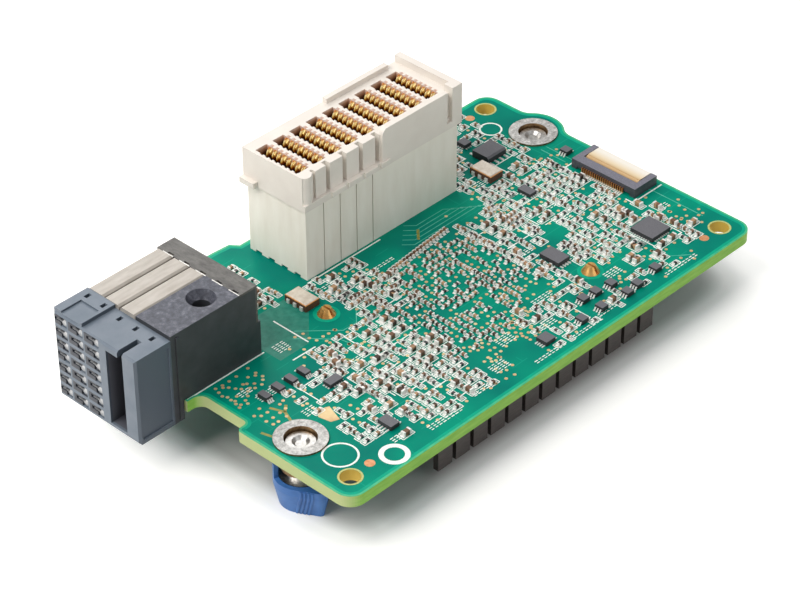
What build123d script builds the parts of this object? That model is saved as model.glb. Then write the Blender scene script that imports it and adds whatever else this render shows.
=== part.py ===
from build123d import *
import math
import os

os.makedirs("parts", exist_ok=True)

# Board
board_length = 102.0
board_depth = 64.2
board_thickness = 2.2
corner_radius = 3.0
step_x = 2.5
step_near_y = 25.8
step_far_y = 36.9
tongue_end_x = -0.5
relief_depth = 1.8
relief_margin = 1.3
tooling_hole = 3.5

# Captive fasteners
near_screw_x = 5.55
near_screw_y = 16.7
far_screw_from_right = 4.05
far_screw_from_far = 15.5
bump_shift = 0.65
bump_radius = 5.9
ferrule_flange = 9.1
ferrule_flange_height = 0.35
ferrule_outer = 7.0
ferrule_bore = 5.6
ferrule_lip_height = 0.8
ferrule_bottom_z = -5.4
running = 0.05
screw_diameter = 5.0
screw_tip_z = -0.45
screw_groove = 4.2
screw_head = 7.5
head_height = 0.6
ring_thickness = 0.6
collar_top_z = -4.15
collar_cut = 1.25
knob_rim_z = -6.9
knob_waist_z = -8.3
knob_floor_z = -12.3
knob_radius = 4.75
knob_foot_radius = 3.95
knob_tip_radius = 1.4
knob_reach = 5.25
knob_turn = -10.5
knob_pocket = 7.8
rib_count = 4
rib_pitch = 0.42
first_rib = 1.75
rib_width = 0.2
rib_rise = 0.16

# Tall stacking connector
tower_length = 37.9
tower_width = 14.1
tower_from_right = 27.6
tower_from_far = 3.8
row_pitch = 4.0
wafer_count = 4
first_wafer = 4.45
seam = 0.2
brim_z = 14.6
brim_height = 1.3
brim_out = 0.5
housing_top_z = 21.4
wall_top_z = 22.4
wall_thickness = 1.1
end_wall_thickness = 1.4
end_wall_rise = 0.4
wall_start = 18.4
end_post = 2.5
side_gap = 1.3
first_notch = 5.2
notch_width = 1.0
first_row = 2.7
last_row_margin = 2.9
slot_width = 2.65
slot_near = 1.8
slot_far = 2.0
slot_depth = 6.2
contact_thickness = 0.2
group_pitch = 3.5
group_offsets = [0.0, 1.22, 2.3]
contact_widths = [0.8, 0.5, 0.5]
contacts_per_row = 8
first_contact = 3.1
comb_notch = 0.52

# Right-angle connector
conn_y = 37.5
conn_top_z = 14.2
flange_x = -2.75
flange_thickness = 2.1
conn_rear_x = 16.5
rear_foot = 0.5
conn_step_z = 6.7
cover_length = 3.9
cover_thickness = 0.4
front_length = 7.7
front_top_z = 13.4
front_bottom_z = -3.75
module_count = 3
module_pitch = 3.88
guide_width = 8.2
wafer_gap = 0.3
opening_rows = 7
opening_pitch = 2.4
opening_width = 1.45
opening_height = 1.7
side_opening_height = 0.65
plateau_rise = 0.7
plateau_start = 13.1
bolt_hole = 3.2
bolt_sink = 5.1
bolt_x = 7.9
bolt_from_side = 4.15

# Heat sink and controller chip under the board
chip_size = 31.0
chip_height = 1.5
chip_from_mid = 1.1
chip_y = 24.9
pin_dx = 20.05
pin_dy = 12.3
pin_diameter = 2.2
pin_hole = 2.8
pin_head = 5.0
pin_head_z = -8.4
barb = 3.3
barb_height = 1.3
pad_height = 0.2
sink_base = 1.5
sink_y = 3.3
sink_floor_z = -10.2
fin_columns = 13
fin_pitch_x = 4.28
fin_length = 3.42
fin_rows = 8
fin_pitch_y = 5.93
fin_thickness = 1.1

# Flat-cable connector
flat_depth = 6.2
flat_from_right = 7.6
flat_length = 14.9
flat_from_far = 42.9
flat_height = 1.9
flat_base = 0.7
flat_contacts = 20
flat_pitch = 0.5
ear = 1.2
hinge_reach = 2.9
hinge_z = 1.3
hinge_pin = 0.7
barrel = 1.1

# Chips: length, width, height
oscillator = (3.3, 5.1, 1.3)
lid_height = 0.25
lid_margin = 0.1
memory_size = (4.9, 3.9, 1.5)
thin_size = (3.0, 4.4, 1.0)
square_size = (5.0, 5.0, 0.9)
sensor_size = (2.0, 3.0, 0.9)
monitor_size = (2.3, 2.3, 0.9)
row_chip_size = (1.3, 2.1, 0.95)
pack_size = (1.6, 1.7, 0.95)
capacitor_size = (1.6, 0.8, 0.8)
capacitor_pitch = 2.0
lift = 0.1

# Places that keep to the right edge, the far right corner and the middle of the board
right = board_length
far = board_depth
middle = board_length / 2
near_axis = (near_screw_x, near_screw_y)
far_axis = (right - far_screw_from_right, far - far_screw_from_far)
tooling_holes = [(4.3, 4.3), (right - 4.2, 4.6), (right - 4.1, far - 3.6)]
oscillators = [(31.5, far - 21.7), (right - 20.2, far - 18.45)]
memory_place = (right - 15.2, far - 14.6)
thin_place = (middle + 19.55, 19.5)
square_place = (right - 13.5, 12.75)
sensor_place = (17.8, 8.9)
monitor_place = (middle + 0.9, 5.1)
small_chip_places = [(19.4, 23.1), (right - 19.5, far - 27.7), (right - 15.9, far - 9.0)]
small_chip_sizes = [(2.9, 1.7, 0.8), (1.8, 3.0, 0.8), (1.8, 2.0, 0.9)]
row_chip_places = [(8.8, 28.3), (11.85, 28.3), (14.8, 28.3), (17.7, 28.3)]
pack_places = [(right - 4.9, far - 24.3)]
for dx, y in [(20.3, 7.3), (29.1, 4.7), (23.4, 4.0), (20.4, 3.7), (16.7, 7.7), (13.7, 7.9), (14.2, 4.2), (9.2, 4.3)]:
    pack_places.append((middle + dx, y))

# Larger capacitors in columns: top one's place, how many, and whether they lie along Y
capacitor_columns = [
    (24.4, 17.4, 2, False), (25.2, 13.3, 1, True), (25.7, 23.0, 1, False), (22.6, 21.0, 1, True),
    (20.4, 18.2, 1, False), (18.6, 13.6, 1, True), (21.4, 12.2, 1, False), (18.0, 5.2, 1, False),
    (23.3, 26.4, 1, True),
    (middle - 11.8, 19.7, 3, False), (middle - 16.2, 19.7, 3, False), (middle + 3.6, 13.7, 1, True),
    (middle + 4.4, 10.2, 1, False), (middle - 8.8, 40.2, 2, False), (middle - 7.4, 32.6, 1, True),
    (middle - 13.4, 28.9, 3, False), (middle - 18.4, 28.1, 2, False), (middle + 18.8, 35.0, 3, False),
    (middle + 16.5, 25.6, 1, True),
    (right - 16.6, 22.9, 2, False), (right - 13.1, 17.0, 1, False), (right - 8.7, 19.5, 1, True),
    (right - 6.9, 16.6, 1, True), (right - 15.4, 8.6, 1, False), (right - 12.6, 8.6, 1, False),
    (right - 19.3, 11.6, 1, True), (right - 12.2, 20.8, 2, True), (right - 22.4, 31.2, 2, False),
    (right - 14.6, far - 20.6, 2, False), (right - 23.6, far - 12.2, 2, True),
]

# The origin is the near tooling hole's axis, on the board's top face.
origin_x, origin_y = tooling_holes[0]
card = Plane(origin=(-origin_x, -origin_y, 0))
low = (Align.MIN, Align.MIN, Align.MIN)
on_base = (Align.CENTER, Align.CENTER, Align.MIN)


def block(x0, x1, y0, y1, z0, z1, mode=Mode.ADD):
    with Locations((x0, y0, z0)):
        Box(x1 - x0, y1 - y0, z1 - z0, align=low, mode=mode)


def disc(x, y, z0, z1, diameter, mode=Mode.ADD):
    with Locations((x, y, z0)):
        Cylinder(diameter / 2, z1 - z0, align=on_base, mode=mode)


def near_points(found, points, reach=0.6):
    picked = ShapeList()
    for item in found:
        for x, y in points:
            if math.hypot(item.X - x, item.Y - y) < reach:
                picked.append(item)
    return picked


# Circuit board with its stepped edges, bump and holes
tower_end_x = right - tower_from_right
tower_x = tower_end_x - tower_length
tower_far_y = far - tower_from_far
tower_y = tower_far_y - tower_width
relief_x0 = tower_x - relief_margin
relief_x1 = tower_end_x + relief_margin
bump_x = far_axis[0] + bump_shift
bump_y = far_axis[1] + bump_shift
chip_x = middle + chip_from_mid
pins = [(chip_x - pin_dx, chip_y + pin_dy), (chip_x + pin_dx, chip_y - pin_dy)]
with BuildPart(card) as circuit_board:
    with BuildSketch(card) as outline:
        with BuildLine():
            Polyline(
                (0, 0),
                (right, 0),
                (right, far),
                (relief_x1, far),
                (relief_x1 - 1.0, far - relief_depth),
                (relief_x0 + 0.6, far - relief_depth),
                (relief_x0 - 0.6, far - 0.3),
                (relief_x0 - 4.5, far),
                (tongue_end_x, far),
                (tongue_end_x, step_far_y),
                (step_x, step_far_y),
                (step_x, step_near_y),
                (0, step_near_y),
                close=True,
            )
        make_face()
        corners = [(0, 0), (right, 0), (right, far)]
        fillet(near_points(outline.vertices(), corners), corner_radius)
        fillet(near_points(outline.vertices(), [(step_x, step_far_y)]), 1.8)
        steps = [(step_x, step_near_y), (0, step_near_y)]
        fillet(near_points(outline.vertices(), steps), 0.9)
        with Locations((bump_x, bump_y)):
            Circle(bump_radius)
        over = right - bump_x
        rise = math.sqrt(bump_radius**2 - over**2)
        joins = [(right, bump_y + rise), (right, bump_y - rise)]
        fillet(near_points(outline.vertices(), joins), 3.0)
        with Locations(*tooling_holes):
            Circle(tooling_hole / 2, mode=Mode.SUBTRACT)
        with Locations(near_axis, far_axis):
            Circle(ferrule_outer / 2, mode=Mode.SUBTRACT)
        with Locations(*pins):
            Circle(pin_hole / 2, mode=Mode.SUBTRACT)
    extrude(amount=-board_thickness)

# Ferrules soldered into the board, one for each captive screw
lip_top_z = ferrule_bottom_z + ferrule_lip_height
with BuildPart(card) as screw_ferrules:
    for x, y in [near_axis, far_axis]:
        disc(x, y, 0, ferrule_flange_height, ferrule_flange)
        disc(x, y, ferrule_bottom_z, 0, ferrule_outer)
        disc(x, y, lip_top_z, ferrule_flange_height, ferrule_bore, Mode.SUBTRACT)
        disc(x, y, ferrule_bottom_z, lip_top_z, screw_diameter + 2 * running, Mode.SUBTRACT)

ring_z = lip_top_z + running
head_z = knob_rim_z - head_height


def add_ring(x, y):
    disc(x, y, ring_z, ring_z + ring_thickness, ferrule_bore - 2 * running)
    disc(x, y, ring_z, ring_z + ring_thickness, screw_groove + 2 * running, Mode.SUBTRACT)


def add_screw(x, y):
    disc(x, y, head_z, knob_rim_z, screw_head)
    disc(x, y, knob_rim_z, ring_z - running, screw_diameter)
    disc(x, y, ring_z - running, ring_z + ring_thickness + running, screw_groove)
    disc(x, y, ring_z + ring_thickness + running, screw_tip_z, screw_diameter)
    with Locations((x, y, screw_tip_z - 0.5)):
        Cone(0.9, 1.5, 0.5, align=on_base, mode=Mode.SUBTRACT)


# Retaining rings that ride in the screws' grooves
with BuildPart(card) as near_retaining_ring:
    add_ring(*near_axis)
with BuildPart(card) as far_retaining_ring:
    add_ring(*far_axis)

# Captive screws with a broad head seated in the knob's pocket
with BuildPart(card) as near_captive_screw:
    add_screw(*near_axis)
with BuildPart(card) as far_captive_screw:
    add_screw(*far_axis)

# Knob: a round post that runs out into a finger tip, low at the front, with a collar behind
turn = math.radians(knob_turn)
near_post = Plane(
    origin=(near_screw_x - origin_x, near_screw_y - origin_y, knob_floor_z),
    x_dir=(math.cos(turn), math.sin(turn), 0),
)
waist = knob_waist_z - knob_floor_z
rim = knob_rim_z - knob_floor_z
draft = math.degrees(math.atan((knob_radius - knob_foot_radius) / waist))
outlines = []
for swell in (rib_rise, 0.0):
    with BuildSketch(near_post.offset(waist)) as knob_outline:
        Circle(knob_radius + swell)
        with Locations((0, -knob_reach)):
            Circle(knob_tip_radius + swell)
        make_hull()
    outlines.append(knob_outline.sketch)
rib_places = []
for i in range(rib_count):
    for side in (-1, 1):
        rib_places.append((side * (first_rib + i * rib_pitch), -knob_reach, 0))
with BuildPart(near_post) as near_knob:
    # The ribs are what thin boxes keep of a slightly swollen knob
    extrude(outlines[0], amount=rim - waist - rib_rise)
    extrude(outlines[0], amount=-waist, taper=draft)
    with Locations(*rib_places):
        Box(rib_width, knob_reach, rim - rib_rise, align=on_base, mode=Mode.INTERSECT)
    extrude(outlines[1], amount=rim - waist)
    extrude(outlines[1], amount=-waist, taper=draft)
    with BuildSketch(near_post.offset(rim)):
        Circle(knob_radius)
        with Locations((0, collar_cut)):
            Rectangle(2 * knob_radius, knob_radius, align=(Align.CENTER, Align.MIN), mode=Mode.INTERSECT)
    extrude(amount=collar_top_z - knob_rim_z)
    with Locations((0, 0, rim - head_height)):
        Cylinder(knob_pocket / 2, collar_top_z - knob_rim_z + head_height, align=on_base, mode=Mode.SUBTRACT)
with BuildPart() as far_knob:
    with Locations((far_axis[0] - near_screw_x, far_axis[1] - near_screw_y, 0)):
        add(near_knob.part)

# Wafers and base block of the stacking connector, with standoff gaps at the left foot
foot_gap = 0.45
foot_pitch = 3.2
first_base_x = tower_x + first_wafer + (wafer_count - 1) * row_pitch
with BuildPart(card) as stack_wafers:
    for i in range(wafer_count):
        x0 = tower_x if i == 0 else tower_x + first_wafer + (i - 1) * row_pitch
        x1 = tower_x + first_wafer + i * row_pitch - seam
        block(x0, x1, tower_y, tower_far_y, 0, brim_z)
    for k in range(4):
        y0 = tower_y + 1.6 + k * foot_pitch
        block(tower_x, tower_x + 0.7, y0, y0 + 1.5, 0, foot_gap, Mode.SUBTRACT)
with BuildPart(card) as stack_base:
    block(first_base_x, tower_end_x, tower_y, tower_far_y, 0, brim_z)

# Shroud of the stacking connector: brim, castellated near wall, end wall and rows of combs
shroud_x = tower_x - brim_out
shroud_end_x = tower_end_x + brim_out + 0.2
shroud_y = tower_y - brim_out
shroud_far_y = tower_far_y + brim_out
recess_y = shroud_y + 0.6
brim_top_z = brim_z + brim_height
wall_x = tower_x + wall_start
post_x = shroud_end_x - end_post
end_top_z = wall_top_z + end_wall_rise
first_row_x = tower_x + first_row
row_count = int((tower_length - first_row - last_row_margin) / row_pitch) + 1
contact_ys = []
for n in range(contacts_per_row):
    contact_ys.append(tower_far_y - first_contact - group_pitch * (n // 3) - group_offsets[n % 3])
with BuildPart(card) as stack_shroud:
    block(shroud_x, shroud_end_x, shroud_y, shroud_far_y, brim_z, brim_top_z)
    block(shroud_x, shroud_end_x, recess_y, shroud_far_y, brim_top_z, housing_top_z)
    block(wall_x, post_x - side_gap, shroud_y, shroud_y + wall_thickness, brim_top_z, wall_top_z)
    block(wall_x + 0.5, post_x - 1.7, shroud_far_y - wall_thickness, shroud_far_y, housing_top_z, wall_top_z)
    block(shroud_end_x - end_wall_thickness, shroud_end_x, shroud_y, shroud_far_y, brim_top_z, end_top_z)
    block(post_x, shroud_end_x, shroud_y, shroud_y + 2.0, brim_top_z, end_top_z)
    block(shroud_x - 1.0, shroud_x, shroud_far_y - 3.5, shroud_far_y, brim_z, brim_z + 1.1)
    left_x = wall_x - origin_x
    wall_ends = stack_shroud.edges().filter_by(Axis.Y).filter_by_position(Axis.X, left_x - 0.1, left_x + 0.1)
    fillet(wall_ends.group_by(Axis.Z)[-1], 1.3)
    # Rounded pilaster and narrow groove at the near left corner
    disc(shroud_x + 1.2, shroud_y + 1.2, brim_top_z, housing_top_z, 2.4)
    block(shroud_x + 2.6, shroud_x + 3.2, recess_y, recess_y + 0.9, brim_top_z, housing_top_z, Mode.SUBTRACT)
    # Notches between the blocks and small tabs in front of them
    for i in range(wafer_count):
        x0 = tower_x + first_notch + i * row_pitch
        x1 = x0 + notch_width
        block(x0, x1, recess_y, recess_y + 1.2, brim_top_z, housing_top_z, Mode.SUBTRACT)
        tab = 3.2 if i < wafer_count - 1 else 2.3
        block(x0 + 0.6, x0 + 0.6 + tab, shroud_y - 0.4, shroud_y, brim_z + 0.35, brim_top_z)
    # Slot in the near wall beside the end post
    block(post_x - side_gap, post_x, shroud_y, shroud_y + 0.9, brim_top_z + 0.6, end_top_z, Mode.SUBTRACT)
    # Slots for the mating blades, one for each row
    for r in range(row_count):
        x1 = first_row_x + r * row_pitch + contact_thickness
        y0 = tower_y + slot_near
        y1 = tower_far_y - slot_far
        block(x1 - slot_width, x1, y0, y1, housing_top_z - slot_depth, end_top_z, Mode.SUBTRACT)
    # Scalloped combs along both sides of each slot
    combs = []
    for r in range(row_count):
        x1 = first_row_x + r * row_pitch + contact_thickness
        for y in contact_ys:
            combs.append((x1 + 0.28, y, housing_top_z))
            combs.append((x1 - slot_width + 0.02, y - 0.5, housing_top_z))
    with Locations(*combs):
        Box(0.6, comb_notch, comb_notch, rotation=(45, 0, 0), mode=Mode.SUBTRACT)

# Gold contacts of the stacking connector, bowed at the top
contact_top_z = housing_top_z - 0.25
contact_foot_z = housing_top_z - slot_depth
with BuildPart() as stack_contacts:
    for width in sorted(set(contact_widths)):
        with BuildSketch(Plane.XZ) as beam:
            with BuildLine():
                Polyline(
                    (-0.4, contact_top_z - 0.6),
                    (0, contact_top_z - 1.8),
                    (0, contact_foot_z),
                    (contact_thickness, contact_foot_z),
                    (contact_thickness, contact_top_z),
                    close=True,
                )
            make_face()
        one = extrude(beam.sketch, width / 2, both=True, mode=Mode.PRIVATE)
        places = []
        for r in range(row_count):
            for n in range(contacts_per_row):
                if contact_widths[n % 3] == width:
                    x = first_row_x + r * row_pitch - origin_x
                    places.append((x, contact_ys[n] - origin_y, 0))
        with Locations(*places):
            add(one)

# Dark block of the right-angle connector, with its countersunk screw hole
guide_far_y = conn_y + guide_width
conn_far_y = guide_far_y + module_count * module_pitch
flange_rear_x = flange_x + flange_thickness
cover_front_x = conn_rear_x - cover_length
cover_z = conn_top_z - cover_thickness
cover_inner_x = conn_rear_x - cover_thickness
bolt_y = conn_y + bolt_from_side
with BuildPart(card) as backplane_guide_block:
    block(flange_x, cover_front_x, conn_y, guide_far_y, 0, conn_top_z)
    block(cover_front_x, cover_inner_x, conn_y, guide_far_y, 0, cover_z)
    block(cover_inner_x, conn_rear_x + rear_foot, conn_y, guide_far_y, 0, conn_step_z)
    block(flange_x, flange_rear_x, conn_y, guide_far_y, front_bottom_z, 0)
    block(flange_x + 1.0, flange_rear_x - 0.5, conn_y - 0.25, conn_y, front_bottom_z + 0.4, conn_top_z - 0.8)
    disc(bolt_x, bolt_y, 0, conn_top_z, bolt_hole, Mode.SUBTRACT)
    with Locations((bolt_x, bolt_y, conn_top_z - 1.6)):
        Cone(bolt_hole / 2, bolt_sink / 2, 1.6, align=on_base, mode=Mode.SUBTRACT)

# Plated wafers side by side
with BuildPart(card) as backplane_wafers:
    for i in range(module_count):
        y0 = guide_far_y + wafer_gap / 2 + i * module_pitch
        y1 = guide_far_y + (i + 1) * module_pitch - wafer_gap / 2
        block(flange_x, cover_front_x - 0.1, y0, y1, 0, conn_top_z)
        block(cover_front_x - 0.1, cover_inner_x, y0, y1, 0, cover_z)
        block(flange_x, flange_rear_x, y0, y1, front_bottom_z + 0.6, 0)
    wafer_tops = backplane_wafers.faces().group_by(Axis.Z)[-1].edges().filter_by(Axis.X)
    chamfer(wafer_tops, 0.35)

# Folded cover over the rear, with notches along its front edge
with BuildPart(card) as backplane_rear_cover:
    block(cover_front_x, conn_rear_x, conn_y, conn_far_y, cover_z, conn_top_z)
    block(cover_inner_x, conn_rear_x, conn_y, conn_far_y, conn_step_z, cover_z)
    for i in range(5):
        y0 = conn_y + 0.6 + i * module_pitch
        block(cover_front_x, cover_front_x + 0.5, y0, y0 + 1.3, cover_z, conn_top_z, Mode.SUBTRACT)

# Blue-grey front housing: stepped top, windows, contact openings, guide pocket and side panel
front_x = flange_x - front_length
plateau_y = conn_y + plateau_start
plateau_z = front_top_z + plateau_rise
pocket_x = front_x + 4.4
pocket_y = conn_y + 3.1
pocket_top_z = front_top_z - 1.3
opening_places = []
for c in range(module_count):
    for r in range(opening_rows):
        y0 = guide_far_y + 0.55 + c * module_pitch
        opening_places.append((y0, front_bottom_z + 0.75 + r * opening_pitch))
with BuildPart(card) as backplane_front_housing:
    block(front_x, flange_x, conn_y, conn_far_y, front_bottom_z, front_top_z)
    chamfer(backplane_front_housing.faces().sort_by(Axis.X)[0].edges(), 0.4)
    block(front_x + 0.4, flange_x, plateau_y, conn_far_y, front_top_z, plateau_z)
    block(front_x, flange_x - 3.0, plateau_y + 0.6, conn_far_y - 1.74, plateau_z - 0.35, plateau_z, Mode.SUBTRACT)
    for i in range(5):
        y0 = conn_y + 2.2 + i * module_pitch
        block(flange_x - 2.15, flange_x - 0.95, y0, y0 + 0.75, front_top_z - 1.4, plateau_z, Mode.SUBTRACT)
    for y0, z0 in opening_places:
        y1 = y0 + opening_width
        block(front_x, front_x + 4.5, y0, y1, z0, z0 + opening_height, Mode.SUBTRACT)
        z1 = z0 + 0.75
        block(front_x, front_x + 3.0, y1, y1 + opening_width, z1, z1 + side_opening_height, Mode.SUBTRACT)
    block(front_x, pocket_x, pocket_y, pocket_y + 3.95, front_bottom_z + 1.0, pocket_top_z, Mode.SUBTRACT)
    block(front_x, pocket_x, pocket_y, pocket_y + 1.15, pocket_top_z, front_top_z, Mode.SUBTRACT)
    panel_z1 = front_top_z - 1.1
    block(front_x + 0.7, flange_x - 0.35, conn_y, conn_y + 0.3, front_bottom_z + 0.8, panel_z1, Mode.SUBTRACT)

# Contacts inside the front housing's openings
with BuildPart(card) as backplane_contacts:
    for y0, z0 in opening_places:
        block(front_x + 0.5, front_x + 4.5, y0 + 0.6, y0 + 0.85, z0 + 0.2, z0 + 1.4)

# Controller chip and thermal pad under the board
chip_z = -board_thickness - chip_height
pad_z = chip_z - pad_height
base_z = pad_z - sink_base
with BuildPart(card) as controller_chip:
    with Locations((chip_x, chip_y, chip_z)):
        Box(chip_size, chip_size, chip_height, align=on_base)
with BuildPart(card) as thermal_pad:
    with Locations((chip_x, chip_y, pad_z)):
        Box(chip_size - 4, chip_size - 4, pad_height, align=on_base)

# Heat sink with cross-cut fins and clear ground round its two pins
sink_length = (fin_columns - 1) * fin_pitch_x + fin_length
sink_width = (fin_rows - 1) * fin_pitch_y + fin_thickness
sink_x = chip_x - 28.5
with BuildPart(card) as heat_sink:
    block(sink_x, sink_x + sink_length, sink_y, sink_y + sink_width, base_z, pad_z)
    fin_places = []
    for c in range(fin_columns):
        for r in range(fin_rows):
            x = sink_x + c * fin_pitch_x + fin_length / 2
            y = sink_y + r * fin_pitch_y + fin_thickness / 2
            clear = min(math.hypot(max(abs(x - a) - fin_length / 2, 0), y - b) for a, b in pins)
            if clear > pin_head / 2 + 0.8:
                fin_places.append((x, y, sink_floor_z))
    with Locations(*fin_places):
        Box(fin_length, fin_thickness, base_z - sink_floor_z, align=on_base)
    for x, y in pins:
        disc(x, y, base_z, pad_z, pin_hole, Mode.SUBTRACT)

# Brass pins that hold the heat sink, with a split barbed tip above the board
with BuildPart(card) as heat_sink_pins:
    for x, y in pins:
        disc(x, y, pin_head_z, pin_head_z + 0.6, pin_head)
        disc(x, y, pin_head_z + 0.6, 0.05, pin_diameter)
        with Locations((x, y, 0.05)):
            Cone(barb / 2, 0.85, barb_height, align=on_base)
        block(x - 0.2, x + 0.2, y - 2, y + 2, 0.2, barb_height + 0.1, Mode.SUBTRACT)

# Flat-cable connector: housing with ears, contacts and flip actuator
flat_x = right - flat_from_right
flat_rear_x = flat_x + flat_depth
flat_y = far - flat_from_far
flat_far_y = flat_y + flat_length
flat_mid_y = flat_y + flat_length / 2
hinge_x = flat_x + hinge_reach
latch_length = flat_length - 2 * ear - 0.3
with BuildPart(card) as flat_cable_housing:
    block(flat_x, flat_rear_x, flat_y, flat_far_y, 0, flat_base)
    block(flat_x, hinge_x - 0.95, flat_y + ear, flat_far_y - ear, flat_base, flat_height)
    block(flat_x, flat_rear_x, flat_y, flat_y + ear, flat_base, flat_height)
    block(flat_x, flat_rear_x, flat_far_y - ear, flat_far_y, flat_base, flat_height)
    block(flat_x, flat_x + 1.6, flat_y + ear, flat_far_y - ear, 0, 0.5, Mode.SUBTRACT)
    with Locations(Location((hinge_x, flat_mid_y, hinge_z), (90, 0, 0))):
        Cylinder(hinge_pin / 2 + running, flat_length - 0.8, mode=Mode.SUBTRACT)
with BuildPart(card) as flat_cable_actuator:
    latch_y = flat_mid_y - latch_length / 2
    block(hinge_x, flat_rear_x + 0.15, latch_y, latch_y + latch_length, hinge_z - 0.25, flat_height + 0.05)
    with Locations(Location((hinge_x, flat_mid_y, hinge_z), (90, 0, 0))):
        Cylinder(barrel / 2, latch_length)
        Cylinder(hinge_pin / 2, flat_length - 1.2)
    chamfer(flat_cable_actuator.faces().sort_by(Axis.X)[-1].edges().sort_by(Axis.Z)[-1], 0.3)
contact_span = (flat_contacts - 1) * flat_pitch
with BuildPart(card) as flat_cable_contacts:
    for i in range(flat_contacts):
        y = flat_mid_y - contact_span / 2 + i * flat_pitch
        block(flat_x - 0.3, flat_x, y - 0.12, y + 0.12, 0, 1.1)


def chip(place, size, gap=lift):
    with Locations((place[0], place[1], gap)):
        Box(size[0], size[1], size[2] - gap, align=on_base)


# Oscillators: ceramic package with pads at one side and a flat lid
with BuildPart(card) as oscillator_bodies:
    for x, y in oscillators:
        chip((x, y), oscillator, 0.0)
        for k in range(3):
            x0 = x - oscillator[0] / 2
            y0 = y - 1.9 + k * 1.6
            block(x0, x0 + 0.25, y0, y0 + 0.7, 0, 0.8, Mode.SUBTRACT)
with BuildPart(card) as oscillator_lids:
    for x, y in oscillators:
        with Locations((x, y, oscillator[2])):
            Box(oscillator[0] - 2 * lid_margin, oscillator[1] - 2 * lid_margin, lid_height, align=on_base)
    chamfer(oscillator_lids.faces().group_by(Axis.Z)[-1].edges(), 0.15)

# Larger chips
with BuildPart(card) as memory_chip:
    chip(memory_place, memory_size)
    chamfer(memory_chip.faces().sort_by(Axis.Z)[-1].edges().sort_by(Axis.Y)[0], 0.35)
with BuildPart(card) as thin_chip:
    chip(thin_place, thin_size)
with BuildPart(card) as square_chip:
    chip(square_place, square_size, 0.0)
with BuildPart(card) as small_chips:
    for place, size in zip(small_chip_places, small_chip_sizes):
        chip(place, size, 0.0)
with BuildPart(card) as sensor_chips:
    chip(sensor_place, sensor_size)
    chip(monitor_place, monitor_size)
with BuildPart(card) as transistor_row:
    for place in row_chip_places:
        chip(place, row_chip_size)
with BuildPart(card) as transistor_packs:
    for place in pack_places:
        chip(place, pack_size)


# Larger ceramic capacitors between the chips
with BuildPart(card) as chip_capacitors:
    for x, top_y, count, turned in capacitor_columns:
        length, width, height = capacitor_size
        if turned:
            length, width = width, length
        for i in range(count):
            chip((x, top_y - i * capacitor_pitch), (length, width, height), 0.0)


def lead(x, y, run_x, run_y, height):
    with Locations((x, y, 0)):
        Box(run_x, run_y, height, align=on_base)


# Gull-wing leads, four on each of two sides
with BuildPart(card) as chip_leads:
    for i in range(4):
        for side in (-1, 1):
            x = memory_place[0] + (i - 1.5) * 1.27
            lead(x, memory_place[1] + side * (memory_size[1] / 2 + 0.5), 0.4, 1.0, 0.2)
            x = thin_place[0] + (i - 1.5) * 0.65
            lead(x, thin_place[1] + side * (thin_size[1] / 2 + 0.35), 0.28, 0.7, 0.15)
            y = sensor_place[1] + (i - 1.5) * 0.65
            lead(sensor_place[0] + side * (sensor_size[0] / 2 + 0.4), y, 0.8, 0.28, 0.15)
            y = monitor_place[1] + (i - 1.5) * 0.5
            lead(monitor_place[0] + side * (monitor_size[0] / 2 + 0.35), y, 0.7, 0.22, 0.15)

pieces = {
    "circuit_board": circuit_board,
    "screw_ferrules": screw_ferrules,
    "near_retaining_ring": near_retaining_ring,
    "far_retaining_ring": far_retaining_ring,
    "near_captive_screw": near_captive_screw,
    "far_captive_screw": far_captive_screw,
    "near_knob": near_knob,
    "far_knob": far_knob,
    "stack_wafers": stack_wafers,
    "stack_base": stack_base,
    "stack_shroud": stack_shroud,
    "stack_contacts": stack_contacts,
    "backplane_guide_block": backplane_guide_block,
    "backplane_wafers": backplane_wafers,
    "backplane_rear_cover": backplane_rear_cover,
    "backplane_front_housing": backplane_front_housing,
    "backplane_contacts": backplane_contacts,
    "controller_chip": controller_chip,
    "thermal_pad": thermal_pad,
    "heat_sink": heat_sink,
    "heat_sink_pins": heat_sink_pins,
    "flat_cable_housing": flat_cable_housing,
    "flat_cable_actuator": flat_cable_actuator,
    "flat_cable_contacts": flat_cable_contacts,
    "oscillator_bodies": oscillator_bodies,
    "oscillator_lids": oscillator_lids,
    "memory_chip": memory_chip,
    "thin_chip": thin_chip,
    "square_chip": square_chip,
    "small_chips": small_chips,
    "sensor_chips": sensor_chips,
    "transistor_row": transistor_row,
    "transistor_packs": transistor_packs,
    "chip_leads": chip_leads,
    "chip_capacitors": chip_capacitors,
}
for name, piece in pieces.items():
    piece.part.label = name
    export_step(piece.part, f"parts/{name}.step")
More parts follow.
